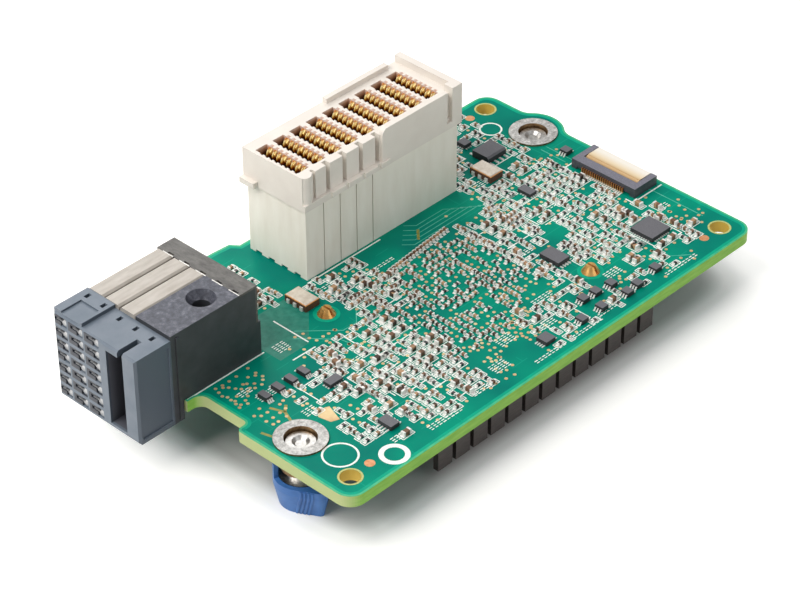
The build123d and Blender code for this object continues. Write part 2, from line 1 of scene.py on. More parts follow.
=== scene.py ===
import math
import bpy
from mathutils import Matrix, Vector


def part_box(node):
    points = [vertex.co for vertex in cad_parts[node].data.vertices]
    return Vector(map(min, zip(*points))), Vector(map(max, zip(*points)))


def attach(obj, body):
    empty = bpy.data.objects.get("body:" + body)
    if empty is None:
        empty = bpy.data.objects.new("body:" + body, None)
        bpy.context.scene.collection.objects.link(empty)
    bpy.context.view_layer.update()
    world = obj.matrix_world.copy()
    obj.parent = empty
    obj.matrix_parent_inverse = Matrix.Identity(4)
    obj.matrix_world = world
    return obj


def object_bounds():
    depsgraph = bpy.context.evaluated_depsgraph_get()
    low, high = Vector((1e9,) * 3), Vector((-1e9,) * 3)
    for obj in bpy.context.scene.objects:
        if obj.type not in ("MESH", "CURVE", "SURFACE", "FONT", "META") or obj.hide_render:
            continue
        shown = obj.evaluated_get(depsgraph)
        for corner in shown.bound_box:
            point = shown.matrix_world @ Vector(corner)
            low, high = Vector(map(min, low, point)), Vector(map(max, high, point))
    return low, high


bl_info = {
    "name": "Fibre channel adapter card",
    "version": (1, 0, 0),
    "blender": (4, 5, 0),
    "location": "View3D > Sidebar > Adapter card",
    "description": "Dresses the packed card: board, small parts, connectors, knobs, heat sink",
    "category": "Object",
}

from dataclasses import dataclass

import bmesh
import bpy
from bpy.props import FloatProperty, FloatVectorProperty, IntProperty, PointerProperty
from mathutils import Matrix, Vector

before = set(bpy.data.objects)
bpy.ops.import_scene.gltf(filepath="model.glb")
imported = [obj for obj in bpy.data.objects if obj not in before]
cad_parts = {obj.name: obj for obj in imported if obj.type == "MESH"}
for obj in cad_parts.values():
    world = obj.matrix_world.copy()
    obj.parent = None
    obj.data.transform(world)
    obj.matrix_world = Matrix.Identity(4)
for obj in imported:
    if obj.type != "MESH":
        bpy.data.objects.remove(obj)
CAD_LOW, CAD_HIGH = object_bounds()

MM = 0.001
BEAM_PITCH = 0.5 * MM
OPENING_PITCH = 2.4 * MM
MODULE_PITCH = 3.88 * MM
BLACK = (0.0, 0.0, 0.0, 1.0)
WHITE = (1.0, 1.0, 1.0, 1.0)
NOWHERE = (0.0, 0.0, 0.0)
QUARTER = math.pi / 2
BODY = "card"
SOCKETS = {
    type(None): "NodeSocketObject", tuple: "NodeSocketVector", float: "NodeSocketFloat",
    int: "NodeSocketInt",
}

# Layers on the board, in millimetres: height, or base and height
INK = 0.02
PRINT_HEIGHT = 0.012
EDGE_HEIGHT, RIM_HEIGHT = 0.014, 0.027
TRACK_LAYER = (0.006, 0.008)
RIM_LAYER = (0.01, 0.018)

# Small forms, in millimetres: capacitors, end caps, solder, printed brackets, rings and feet
LARGE_CAPACITOR = (1.6, 0.8, 0.8)
CAP_EXCESS, LIFT = 0.04, 0.03
SOLDER_TOE, SOLDER_SIDE = 0.3, 0.14
BRACKET_LINE, BRACKET_AWAY, BRACKET_BESIDE = 0.17, 0.55, 0.31
PRINT_GAP = 0.8
RIM_WIDTH = 0.34
PIN_RING = (1.45, 2.35, 0.01, 0.012)
DASH_PITCH = (0.95, 0.5)
FOOT, FOOT_OUT = (0.85, 0.32, 0.06), 0.55

# In metres: tolerances, the height from which fields look for free board, how far parts stray
MERGE_DISTANCE, FLATNESS = 1e-6, 1e-5
LOOK_FROM = 0.05
PART_STRAY, VIA_STRAY = 0.12 * MM, 0.25 * MM

# Shares and counts
RIM_SHARE = 0.4
END_CAP_SHARE = 0.21
SHARPEST_MITRE = 0.35
RING_SIDES = 48
SEAM_BARS = 5
SEED_STEP, VIA_SEED = 10, 500

# The board's near left corner and its right and far edges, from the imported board
TONGUE = 0.5 * MM
BOARD_LOW, BOARD_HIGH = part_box("circuit_board")
CORNER = Vector((BOARD_LOW.x + TONGUE, BOARD_LOW.y, 0.0))
BOARD_TOP = BOARD_HIGH.z
BOARD_UNDER = BOARD_LOW.z


def colour(code):
    """An sRGB hex code as Blender's linear red, green, blue and alpha."""
    channels = [int(code[i:i + 2], 16) / 255 for i in (0, 2, 4)]
    linear = [c / 12.92 if c <= 0.04045 else ((c + 0.055) / 1.055) ** 2.4 for c in channels]
    return (*linear, 1.0)


def on_board(x, y, z=0.0):
    """A point in millimetres from the board's near left corner, as metres in the row frame."""
    return Vector((CORNER.x + x * MM, CORNER.y + y * MM, BOARD_TOP + z * MM))


MATH, RANGE, SPLIT = "ShaderNodeMath", "ShaderNodeMapRange", "ShaderNodeSeparateXYZ"
RAMP, MIX, NORMALS = "ShaderNodeValToRGB", "ShaderNodeMix", "ShaderNodeNewGeometry"


def add_node(tree, kind, inputs=(), **settings):
    """Adds a node with its settings and links.

    Inputs go by name or number, or in order. Each is a value, a socket, a node, whose first output
    in use is then read, or a list of nodes. A ramp's stops are (position, colour) pairs.
    """
    node = tree.nodes.new(kind)
    stops = settings.pop("stops", ())
    for key, value in settings.items():
        setattr(node, key, value)
    if stops:
        elements = node.color_ramp.elements
        elements[0].position, elements[0].color = stops[0]
        elements[1].position, elements[1].color = stops[-1]
        for position, tint in stops[1:-1]:
            elements.new(position).color = tint
    for key, value in (inputs if isinstance(inputs, dict) else dict(enumerate(inputs))).items():
        for source in value if isinstance(value, list) else [value]:
            if isinstance(source, bpy.types.Node):
                source = next(output for output in source.outputs if output.enabled)
            if isinstance(source, bpy.types.NodeSocket):
                tree.links.new(source, node.inputs[key])
            else:
                node.inputs[key].default_value = source
    return node


# Materials

USUAL_NOISE = (1.0, 3.0, 0.55)
USUAL_STOPS = (0.3, 0.7)


@dataclass
class Finish:
    """A finish; lengths are in millimetres, and colours are hex codes or names in CardLook."""

    title: str
    base: str
    roughness: float
    metallic: float = 0.0
    specular: float = None
    grain: tuple = ()  # size of the noise's blobs, its detail and its roughness
    stretch: tuple = ()  # the noise's scale along each axis
    cells: float = 0.0  # size of cells that give each part its own tone, in place of the noise
    stops: tuple = ()  # colours that the noise runs through
    upright: tuple = ()  # the same on upright faces, where they differ
    fine: tuple = ()  # noise of the gloss and the bump, where it isn't the colours' own
    shine: tuple = ()  # lowest and highest roughness
    bump: tuple = ()  # depth and strength
    paint: object = None  # function that works the colour over
    glow: object = None  # function that adds light to the shader


def tints(codes):
    """A colour, or a ramp's stops from colours or (position, colour) pairs."""
    look = bpy.context.scene.card_look
    if isinstance(codes, str):
        return getattr(look, codes) if hasattr(look, codes) else colour(codes)
    pairs = zip(USUAL_STOPS, codes) if isinstance(codes[0], str) else codes
    return [(position, tints(code)) for position, code in pairs]


def inside(tree, coords, low, high):
    """1 for points inside a box and 0 outside, and the point's X, Y and Z."""
    parts = add_node(tree, SPLIT, (coords,)).outputs
    within = 1.0
    for axis in range(3):
        for corner, test in ((low, "GREATER_THAN"), (high, "LESS_THAN")):
            passed = add_node(tree, MATH, (parts[axis], corner[axis]), operation=test)
            within = add_node(tree, MATH, (within, passed), operation="MULTIPLY")
    return within, parts


def flat_faces(tree):
    """1 on faces that look up or down, 0 on upright ones."""
    normal = add_node(tree, SPLIT, (add_node(tree, NORMALS).outputs["True Normal"],))
    size = add_node(tree, MATH, (normal.outputs["Z"],), operation="ABSOLUTE")
    return add_node(tree, MATH, (size, 0.7), operation="GREATER_THAN")


def mask_over_laminate(tree, coords, tint, patches):
    """Copper lines show through the mask, and the sawn sides show yellow-green laminate, with a
    painted highlight on those that face -X.
    """
    # The lines are coarser than real ones, so that they show
    weave = add_node(tree, "ShaderNodeTexBrick", {
        "Vector": coords, "Color1": BLACK, "Color2": BLACK, "Mortar": WHITE,
        "Scale": 1 / (7.0 * MM), "Mortar Size": 0.012, "Brick Width": 1.6, "Row Height": 0.5,
    }, offset=0.35, squash=1.0)
    copper = add_node(tree, MATH, (patches, 0.5), operation="GREATER_THAN")
    lines = add_node(tree, MATH, (weave, copper), operation="MULTIPLY")
    faint = add_node(tree, MATH, (lines, 0.25), operation="MULTIPLY")
    mask = add_node(tree, MIX, {0: faint, 6: tint, 7: colour("2BB296")}, data_type="RGBA")
    layers = add_node(tree, "ShaderNodeMapping", {"Vector": coords, "Scale": (0.15, 0.15, 1.0)})
    glass = add_node(tree, "ShaderNodeTexNoise", {
        "Vector": layers, "Scale": 1 / (0.5 * MM), "Detail": 3.0, "Roughness": 0.55})
    sides = add_node(tree, RAMP, (glass,), stops=tints(((0.25, "78AB4A"), (0.75, "92C05B"))))
    # Painted highlight: the sides that look along -X are painted creamier, where the key light
    # falls on them
    normal = add_node(tree, SPLIT, (add_node(tree, NORMALS).outputs["True Normal"],))
    turned = add_node(tree, RANGE, (normal, -0.15, -0.95))
    washes = [(turned, "B2BD86")]
    # The walls of the tooling holes keep the gold of the resin
    for x, y, radius in HOLES[:3]:
        edge = radius + 0.2
        low, high = on_board(x - edge, y - edge, -5.0), on_board(x + edge, y + edge, 1.0)
        washes.append((inside(tree, coords, low, high)[0], "C9AE55"))
    for share, code in washes:
        sides = add_node(tree, MIX, {0: share, 6: sides, 7: colour(code)}, data_type="RGBA")
    return add_node(tree, MIX, {0: flat_faces(tree), 6: sides, 7: mask}, data_type="RGBA")


def slot_shade(tree, coords, tint, pattern):
    """Painted shade: down in the slots the shroud is painted brown, darker deeper down."""
    low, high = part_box("stack_shroud")
    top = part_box("stack_contacts")[1].z + 0.25 * MM
    inner_low = low + Vector((1.2, 2.3, 0)) * MM
    inner_high = Vector((high.x - 3 * MM, high.y - 1.9 * MM, top - 0.03 * MM))
    slots, parts = inside(tree, coords, inner_low, inner_high)
    depth = add_node(tree, RANGE, (parts[2], top - 3 * MM, top))
    shade = add_node(tree, RAMP, (depth,), stops=tints((
        (0.1, "2A1509"), (0.5, "6E4226"), (0.8, "B9917A"), (0.97, "DDC6BA"))))
    return add_node(tree, MIX, {0: slots, 6: tint, 7: shade}, data_type="RGBA")


def gold_painted_light_by_height(tree, coords, tint, pattern):
    """A painted highlight at the bowed tips, and painted shade, brown to dark, where the beams go
    down into the slots.
    """
    height = add_node(tree, SPLIT, (coords,)).outputs["Z"]
    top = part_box("stack_contacts")[1].z
    depth = add_node(tree, RANGE, (height, top - 2.2 * MM, top))
    return add_node(tree, RAMP, (depth,), stops=tints((
        (0.0, "2E1406"), (0.3, "6A3410"), (0.5, "B4621A"), (0.61, "FFC456"), (0.72, "FFE494"),
        (0.92, "FFEDB0"), (1.0, "C87E34"))))


def cast_painted_shade_sides(tree, coords, tint, pattern):
    """Painted shade: the casting's sides are smoother and painted darker than its top."""
    normal = add_node(tree, SPLIT, (add_node(tree, NORMALS).outputs["True Normal"],))
    raised = add_node(tree, MATH, (normal.outputs["Z"], 0.4), operation="GREATER_THAN")
    clouds = add_node(tree, "ShaderNodeTexNoise", {
        "Vector": coords, "Scale": 1 / (3.0 * MM), "Detail": 3.0, "Roughness": 0.55})
    side = add_node(tree, RAMP, (clouds,), stops=tints(("34363A", "3F4145")))
    return add_node(tree, MIX, {0: raised, 6: side, 7: tint}, data_type="RGBA")


def housing_shade(tree, coords, tint, pattern):
    """Painted shade: the front housing is painted darker on its near side, in its openings and down
    in its pocket.
    """
    low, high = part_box("backplane_front_housing")
    inner_low = low + Vector((0.45, 0.5, 0.5)) * MM
    inner_high = Vector((high.x, high.y - 0.3 * MM, high.z - 2.0 * MM))
    hollow, parts = inside(tree, coords, inner_low, inner_high)
    depth = add_node(tree, RANGE, (parts[0], low.x + 0.45 * MM, low.x + 4 * MM))
    shade = add_node(tree, RAMP, (depth,), stops=tints((
        (0.0, "5A5C64"), (0.5, "414249"), (0.95, "2C2C32"))))
    # Painted shade on the faces that look along -Y
    normal = add_node(tree, SPLIT, (add_node(tree, NORMALS).outputs["True Normal"],))
    near = add_node(tree, MATH, (normal.outputs["Y"], -0.5), operation="LESS_THAN")
    # Painted shade: the moulding between the openings is painted dark, as the shade of their rims
    first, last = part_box("backplane_contacts")
    first, last = first - Vector((0, 0.6, 0.2)) * MM, last + Vector((0, 0.6, 0.5)) * MM
    rims, parts = inside(
        tree, coords, (low.x - MM, first.y, first.z), (low.x + 0.3 * MM, last.y + 1.4 * MM, last.z))
    for axis, pitch, share in ((1, MODULE_PITCH, 0.9), (2, OPENING_PITCH, 0.72)):
        along = add_node(tree, MATH, (parts[axis], first[axis]), operation="SUBTRACT")
        steps = add_node(tree, MATH, (along, pitch), operation="DIVIDE")
        step = add_node(tree, MATH, (steps,), operation="FRACT")
        beside = add_node(tree, MATH, (step, share), operation="LESS_THAN")
        rims = add_node(tree, MATH, (rims, beside), operation="MULTIPLY")
    for share, darker in ((near, colour("48525D")), (rims, colour("3C3F46")), (hollow, shade)):
        tint = add_node(tree, MIX, {0: share, 6: tint, 7: darker}, data_type="RGBA")
    return tint


def barrel_tan(tree, coords, tint, pattern):
    """Tan along the actuator's barrel, and nearly white towards its free edge."""
    low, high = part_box("flat_cable_actuator")
    depth = add_node(tree, RANGE, (add_node(tree, SPLIT, (coords,)), low.x, high.x))
    return add_node(tree, RAMP, (depth,), stops=tints((
        (0.08, "BE9A68"), (0.3, "DCC8A4"), (0.7, "E9E3D8"))))


def beams_painted_light_and_feet(tree, coords, tint, pattern):
    """Each copper beam has a painted highlight down its middle and painted shade on its flanks, and
    the feet are tinned.
    """
    parts = add_node(tree, SPLIT, (coords,)).outputs
    raised = add_node(tree, MATH, (parts["Z"], BOARD_TOP + 0.25 * MM), operation="GREATER_THAN")
    steps = add_node(tree, MATH, (parts["Y"], BEAM_PITCH), operation="DIVIDE")
    step = add_node(tree, MATH, (steps,), operation="FRACT")
    # Painted highlight in the middle of each beam, and painted shade on its flanks
    copper = add_node(tree, RAMP, (step,), stops=tints((
        (0.0, "4A2A14"), (0.3, "A8632E"), (0.6, "DDA062"), (1.0, "5A3419"))))
    return add_node(tree, MIX, {0: raised, 6: colour("C9B79C"), 7: copper}, data_type="RGBA")


def floor_distance(tree, coords):
    """How far the floor is from the board's box, in metres and as a share near the box's edge."""
    low = Vector((CORNER.x, BOARD_LOW.y, 0.0))
    middle, half = (low + BOARD_HIGH) / 2, (BOARD_HIGH - low) / 2
    parts = add_node(tree, SPLIT, (coords,)).outputs
    beyond = []
    for axis in (0, 1):
        offset = add_node(tree, MATH, (parts[axis], middle[axis]), operation="SUBTRACT")
        reach = add_node(tree, MATH, (offset,), operation="ABSOLUTE")
        beyond.append(add_node(tree, MATH, (reach, half[axis]), operation="SUBTRACT"))
    # A smooth maximum leaves no crease at the box's corners
    edge = add_node(tree, MATH, (*beyond, 14 * MM), operation="SMOOTH_MAX")
    return edge, add_node(tree, RANGE, (edge, -10 * MM, 10 * MM))


def shaded_paper(tree, coords, tint, pattern):
    """Painted shadow: the paper is painted greyer close to the card, where its shadow lies."""
    away = floor_distance(tree, coords)[1]
    share = add_node(tree, RAMP, (away,), stops=[(0.25, BLACK), (0.4, WHITE)])
    return add_node(tree, MIX, {0: share, 6: colour("C6C3C0"), 7: tint}, data_type="RGBA")


def paper_glow(tree, coords, shader):
    """Full white to the camera and in reflections, away from the card, so that its shadow stays."""
    path = add_node(tree, "ShaderNodeLightPath").outputs
    seen = path["Is Camera Ray"]
    for ray in ("Is Glossy Ray", "Is Transmission Ray"):
        seen = add_node(tree, MATH, (seen, path[ray]), operation="MAXIMUM")
    edge, away = floor_distance(tree, coords)
    greys = [(place, (grey, grey, grey, 1.0)) for place, grey in (
        (0.3, 0.0), (0.46, 0.36), (0.56, 0.78), (0.66, 1.0))]
    rise = add_node(tree, RAMP, (away,), stops=greys)
    # Far from the card the lamps fade, and the glow makes up for it
    strength = add_node(tree, RANGE, (edge, 100 * MM, 500 * MM, 0.33, 1.0))
    light = add_node(tree, MATH, (seen, strength), operation="MULTIPLY")
    glow = add_node(tree, "ShaderNodeEmission", {"Color": rise, "Strength": light})
    return add_node(tree, "ShaderNodeAddShader", (shader, glow))


FINISHES = {
    # Liquid solder mask over copper, cured and glossy; the board's sawn sides show glass and resin,
    # with a painted highlight on those that face -X
    "solder_mask": Finish(
        "solder_mask_on_laminate", "mask", 0.34, specular=0.05, grain=(14.0, 2.0),
        stops=((0.35, "mask"), (0.65, "008C72")), fine=(0.35, 4.0), shine=(0.28, 0.42),
        bump=(0.02, 0.15), paint=mask_over_laminate),
    # The same mask over bare laminate, with no copper behind it, so light comes through brighter
    "border": Finish(
        "solder_mask_on_bare_edge", "border", 0.32, specular=0.1, grain=(2.0,),
        stops=("border", "02A583"), bump=(0.02, 0.2)),
    # The rounded rim of the mask, where light comes in through the sawn side
    "lit_edge": Finish(
        "mask_rim_lit_through", "3AAC7E", 0.32, specular=0.3, grain=(1.5,),
        stops=("2DA67C", "4CB680"), bump=(0.02, 0.2)),
    # Bare laminate round the tooling holes, pale yellow-green
    "rim": Finish("bare_laminate_rim", "A6BE72", 0.5, grain=(0.4,), stops=("A8B062", "C6C480")),
    # Mask over a hatched copper pour, a little greyer and lighter
    "pour": Finish(
        "solder_mask_on_hatched_copper", "2C8F7D", 0.36, specular=0.2, grain=(1.2,),
        stops=("1E7463", "348A77"), bump=(0.02, 0.2)),
    # A copper track under the mask, which reads as a paler green line
    "trace": Finish(
        "track_under_mask", "4DB69C", 0.36, grain=(1.5,), stops=("2FA389", "5FC0A8"),
        bump=(0.01, 0.2)),
    # A wide track whose mask is thin over gold, so it looks olive
    "bare_trace": Finish(
        "track_under_thin_mask", "8A8A34", 0.4, grain=(0.8,), stops=("6E8A3C", "A88C3A"),
        bump=(0.01, 0.2)),
    # Screen-printed epoxy ink, white and slightly broken at its edges
    "silk": Finish(
        "printed_white_ink", "E9EEE8", 0.6, grain=(0.25,),
        stops=((0.25, "C9DCD0"), (0.55, "F2F4EE")), bump=(0.01, 0.3)),
    # Immersion gold on the vias' pads, pinkish where it is thin
    "via": Finish(
        "immersion_gold", "DDB888", 0.42, 0.3, grain=(3.0,),
        stops=((0.35, "CFA678"), (0.65, "E2CA98")), bump=(0.02, 0.2)),
    # Bare copper of the fiducials, dull orange
    "copper": Finish(
        "bare_copper", "D8955F", 0.45, 0.4, grain=(0.6,), stops=("CC8450", "E2AA80"),
        bump=(0.02, 0.2)),
    # Reflowed solder on the ferrules' flanges: silver, lumpy and rough; the bores are brown
    "solder": Finish(
        "reflowed_solder", "BDBCB8", 0.4, 0.85, grain=(0.55, 5.0, 0.7),
        stops=((0.3, "8E8B87"), (0.5, "C4C2BE"), (0.7, "E8E6E2")), upright=("6E5236", "A98A62"),
        shine=(0.3, 0.6), bump=(0.12, 0.8)),
    # Turned stainless steel, satin, with fine marks left by the tool
    "steel": Finish(
        "turned_stainless_steel", "C9C8C4", 0.32, 1.0, grain=(0.5, 4.0), stops=("B4B1AC", "DEDCD8"),
        shine=(0.24, 0.42), bump=(0.03, 0.3)),
    # Moulded glass-filled nylon, blue, with a faint sheen and flow marks
    "blue": Finish(
        "moulded_blue_nylon", "knob", 0.42, grain=(4.0,), stops=("knob", "4577B8"), fine=(0.3, 4.0),
        shine=(0.36, 0.5), bump=(0.02, 0.4)),
    # Moulded liquid-crystal polymer, warm off-white, with faint flow streaks
    "ivory": Finish(
        "moulded_ivory_polymer", "ivory", 0.5, grain=(2.5,), stretch=(1.0, 1.0, 0.2),
        stops=("E8E1D5", "ivory"), fine=(0.3, 4.0), shine=(0.42, 0.58), bump=(0.02, 0.35)),
    # The same polymer on the shroud; its slots are painted with brown shade, darker deeper down
    "shroud": Finish(
        "moulded_pale_polymer", "DDD5CC", 0.5, grain=(4.0,), stops=("DFD7CE", "E5DED5"),
        fine=(0.3, 4.0), shine=(0.42, 0.58), bump=(0.02, 0.35), paint=slot_shade),
    # Gold plate over nickel, satin, with a painted highlight at the tips and painted shade lower
    # down
    "gold": Finish(
        "gold_plated_contact", "F0C060", 0.26, 0.12, grain=(0.4,), shine=(0.2, 0.32),
        paint=gold_painted_light_by_height),
    # Tin-plated copper alloy in the openings of the front housing, grey in the shade
    "blade": Finish(
        "tin_plated_blade", "C4C6C8", 0.38, 0.35, grain=(0.4,), stops=("A9ABAD", "C8C9CB"),
        shine=(0.28, 0.45)),
    # Die-cast zinc, blackened: mottled blue-grey from the mould on top, with painted shade that
    # makes its sides nearly black
    "cast": Finish(
        "blackened_die_casting", "2A2B2E", 0.45, 0.2, grain=(0.9, 6.0, 0.7),
        stops=((0.3, "30313A"), (0.52, "4D4F59"), (0.72, "777882")), shine=(0.36, 0.55),
        bump=(0.04, 0.3), paint=cast_painted_shade_sides),
    # Nickel-plated stamped wafers, satin and slightly warm
    "wafer": Finish(
        "nickel_plated_wafer", "B5AEA5", 0.5, 0.2, grain=(0.9, 4.0), stretch=(0.25, 1.0, 1.0),
        stops=((0.25, "A59D93"), (0.75, "BDB7AF")), shine=(0.42, 0.58), bump=(0.02, 0.3)),
    # Cold-rolled steel under dark nickel, mottled, with faint rolling marks
    "cover": Finish(
        "dark_nickel_steel", "5E5C5A", 0.42, 0.3, grain=(1.2, 6.0, 0.7), stretch=(1.0, 0.4, 1.0),
        stops=("3E3B39", "706E6A"), shine=(0.34, 0.52), bump=(0.02, 0.3)),
    # The bright cut edge of the wafers' ground plate
    "seam": Finish(
        "bright_nickel_seam", "E9E8E4", 0.3, 0.6, grain=(0.3,), stops=("B4B2AC", "DCDAD5")),
    # Moulded glass-filled polymer, blue-grey and satin, with painted shade on its near side, in its
    # openings and in its pocket
    "front": Finish(
        "moulded_blue_grey_polymer", "front", 0.46, grain=(5.0,), stops=("front", "727B86"),
        fine=(0.25, 4.0), shine=(0.4, 0.56), bump=(0.02, 0.4), paint=housing_shade),
    # Black epoxy moulding compound of chip packages: charcoal with a fine blasted top
    "chip": Finish(
        "epoxy_moulding_compound", "chip", 0.52, grain=(0.12, 4.0), stops=("55555A", "6B6A6F"),
        upright=("1E1D20", "323136"), shine=(0.42, 0.62), bump=(0.015, 0.5)),
    # Soft grey thermal silicone
    "pad": Finish(
        "thermal_silicone", "8C8D90", 0.75, grain=(0.3, 4.0), stops=("7D7E82", "9C9DA0"),
        bump=(0.03, 0.5)),
    # Black anodised extruded aluminium, brown-black and satin, with faint cutting lines
    "fins": Finish(
        "black_anodised_aluminium", "fin", 0.46, 0.25, grain=(0.25, 4.0), stretch=(0.12, 1.0, 1.0),
        stops=("2E2826", "47403D"), shine=(0.4, 0.58), bump=(0.02, 0.4)),
    # Turned brass of the split pins, bright with darker flanks
    "brass": Finish(
        "turned_brass", "D9A04C", 0.24, 0.75, grain=(2.5,), stops=("C98E48", "EFC178"),
        shine=(0.2, 0.36)),
    # Music wire with a bright zinc finish
    "spring": Finish(
        "zinc_plated_wire", "B5B6B8", 0.34, 1.0, grain=(0.3,), stops=("9C9DA0", "CCCDD0")),
    # Dark purple-grey nylon of the flat-cable connector, glossy from the mould
    "flat_housing": Finish(
        "moulded_dark_nylon", "3A3944", 0.36, grain=(0.25, 4.0), stops=("666570", "7C7B86"),
        upright=("34343C", "484850"), bump=(0.015, 0.3)),
    # Natural nylon of the flip actuator
    "cream": Finish(
        "natural_nylon", "EDE4D3", 0.45, grain=(0.4, 4.0), bump=(0.015, 0.3), paint=barrel_tan),
    # Copper alloy beams of the flat-cable contacts, with a painted highlight and painted shade
    # across each
    "beam": Finish("copper_alloy_beam", "C27A3E", 0.34, 0.7, paint=beams_painted_light_and_feet),
    # Fired alumina ceramic, red-brown, matte, with a gold braze line round its top
    "ceramic": Finish(
        "fired_black_ceramic", "35291F", 0.6, grain=(0.3, 5.0), stops="E8A858",
        upright=("3A2418", "6A4632"), bump=(0.02, 0.5)),
    # Stamped nickel-iron lid, cream in soft light, with a gold braze rim
    "lid": Finish(
        "brazed_lid", "DED3C4", 0.4, 0.5, grain=(1.0,), stops=("D2C5B4", "EAE1D4"),
        upright="D9973F", shine=(0.34, 0.48)),
    # Matte tin on leads and end caps, white in soft light
    "tin": Finish(
        "matte_tin", "E4E2DE", 0.42, 0.3, grain=(0.3,), stops=("DAD8D3", "F8F7F4"),
        bump=(0.02, 0.3)),
    # Sintered barium titanate of the chip capacitors, tan to brown from part to part
    "capacitor": Finish(
        "sintered_capacitor_ceramic", "A07C5A", 0.5, grain=(0.2,), cells=2.2,
        stops=((0.1, "3C281C"), (0.5, "74523A"), (0.9, "B08A66")), bump=(0.01, 0.3)),
    # Black overglaze of the chip resistors
    "resistor": Finish(
        "resistor_overglaze", "2B2A2C", 0.34, cells=2.2, stops=((0.2, "1F1E20"), (0.8, "4A4442"))),
    # Matte white studio paper, with a painted shadow close to the card
    "paper": Finish(
        "studio_paper", "F2F0EE", 0.9, specular=0.0, grain=(6.0,), stops=("F2F0ED", "F6F4F1"),
        paint=shaded_paper, glow=paper_glow),
}
made_finishes = {}


def finish_of(name):
    """The material of that finish, made when it is first asked for."""
    if name in made_finishes:
        return made_finishes[name]
    row = FINISHES[name]
    material = made_finishes[name] = bpy.data.materials.new(row.title)
    material.use_nodes = True
    tree = material.node_tree
    tree.nodes.clear()
    coords = add_node(tree, "ShaderNodeTexCoord").outputs["Object"]
    stretched = coords
    if row.stretch:
        stretched = add_node(tree, "ShaderNodeMapping", {"Vector": coords, "Scale": row.stretch})
    pattern = fine = None
    for place, grain in ((stretched, row.grain), (coords, row.fine)):
        if grain:
            size, detail, rough = grain + USUAL_NOISE[len(grain):]
            fine = add_node(tree, "ShaderNodeTexNoise", {
                "Vector": place, "Scale": 1 / (size * MM), "Detail": detail, "Roughness": rough})
            pattern = pattern or fine
    factor = pattern
    if row.cells:
        cells = add_node(tree, "ShaderNodeTexVoronoi", {
            "Vector": coords, "Scale": 1 / (row.cells * MM)})
        factor = add_node(tree, "ShaderNodeSeparateColor", (cells.outputs["Color"],))
    tint, side = [
        tints(codes) if isinstance(codes, str) else
        codes and add_node(tree, RAMP, (factor,), stops=tints(codes))
        for codes in (row.stops, row.upright)]
    if row.upright:
        tint = add_node(tree, MIX, {0: flat_faces(tree), 6: side, 7: tint}, data_type="RGBA")
    if row.paint:
        tint = row.paint(tree, coords, tint, pattern)
    values = {"Base Color": tint, "Roughness": row.roughness, "Metallic": row.metallic}
    if row.specular is not None:
        values["Specular IOR Level"] = row.specular
    if row.shine:
        values["Roughness"] = add_node(tree, RANGE, (fine, 0.0, 1.0, *row.shine))
    if row.bump:
        depth, strength = row.bump
        values["Normal"] = add_node(tree, "ShaderNodeBump", {
            "Height": fine, "Distance": depth * MM, "Strength": strength})
    shader = add_node(tree, "ShaderNodeBsdfPrincipled", values)
    shader.inputs["Base Color"].default_value = tints(row.base)
    surface = row.glow(tree, coords, shader) if row.glow else shader
    add_node(tree, "ShaderNodeOutputMaterial", {"Surface": surface})
    return material


def dress(finish, *nodes):
    """Gives CAD nodes a better material in the slots that they have."""
    for node in nodes:
        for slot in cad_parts[node].material_slots:
            slot.material = finish_of(finish)


# Meshes


def add_object(name, data):
    """Links a new object with that data to the scene."""
    made = bpy.data.objects.new(name, data)
    bpy.context.scene.collection.objects.link(made)
    return made


def finished_mesh(name, mesh):
    """A plain mesh from a BMesh, which is freed."""
    made = bpy.data.meshes.new(name)
    mesh.to_mesh(made)
    mesh.free()
    return made


def add_piece(name, mesh, finish=None):
    """Adds a piece that rides on the card; a BMesh is closed and gets its finish here."""
    if isinstance(mesh, bmesh.types.BMesh):
        bmesh.ops.recalc_face_normals(mesh, faces=mesh.faces)
        mesh = finished_mesh(name, mesh)
        mesh.materials.append(finish_of(finish))
    piece = add_object(name, mesh)
    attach(piece, BODY)


def merged_copy(node):
    """A CAD node's mesh with its loose triangles joined."""
    copy = bmesh.new()
    copy.from_mesh(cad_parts[node].data)
    bmesh.ops.remove_doubles(copy, verts=copy.verts, dist=MERGE_DISTANCE)
    return copy


def islands(node):
    """The lowest and highest corner of each separate solid of a CAD node."""
    copy = merged_copy(node)
    seen, found = set(), []
    for start in copy.verts:
        if start in seen:
            continue
        seen.add(start)
        group, waiting = [], [start]
        while waiting:
            vertex = waiting.pop()
            group.append(vertex.co.copy())
            fresh = {edge.other_vert(vertex) for edge in vertex.link_edges} - seen
            seen |= fresh
            waiting += fresh
        found.append([Vector([pick(p[i] for p in group) for i in range(3)]) for pick in (min, max)])
    copy.free()
    return found


def add_box(mesh, low, high):
    """Adds a closed box between two corners."""
    place = Matrix.Translation((low + high) / 2) @ Matrix.Diagonal((*(high - low), 1.0))
    bmesh.ops.create_cube(mesh, size=1.0, matrix=place)


def add_walls(mesh, first, second):
    """Joins two loops of equal length with a wall."""
    for i in range(len(first)):
        j = (i + 1) % len(first)
        mesh.faces.new((first[i], first[j], second[j], second[i]))


def add_prism(mesh, rings):
    """Adds a closed solid between two equal rings of points."""
    first, second = [[mesh.verts.new(point) for point in ring] for ring in rings]
    mesh.faces.new(second)
    mesh.faces.new(first[::-1])
    add_walls(mesh, first, second)


def add_slab(mesh, outline, base, height):
    """Adds a flat closed slab on the board; the outline is in millimetres and anticlockwise."""
    add_prism(mesh, [[on_board(x, y, z) for x, y in outline] for z in (base, base + height)])


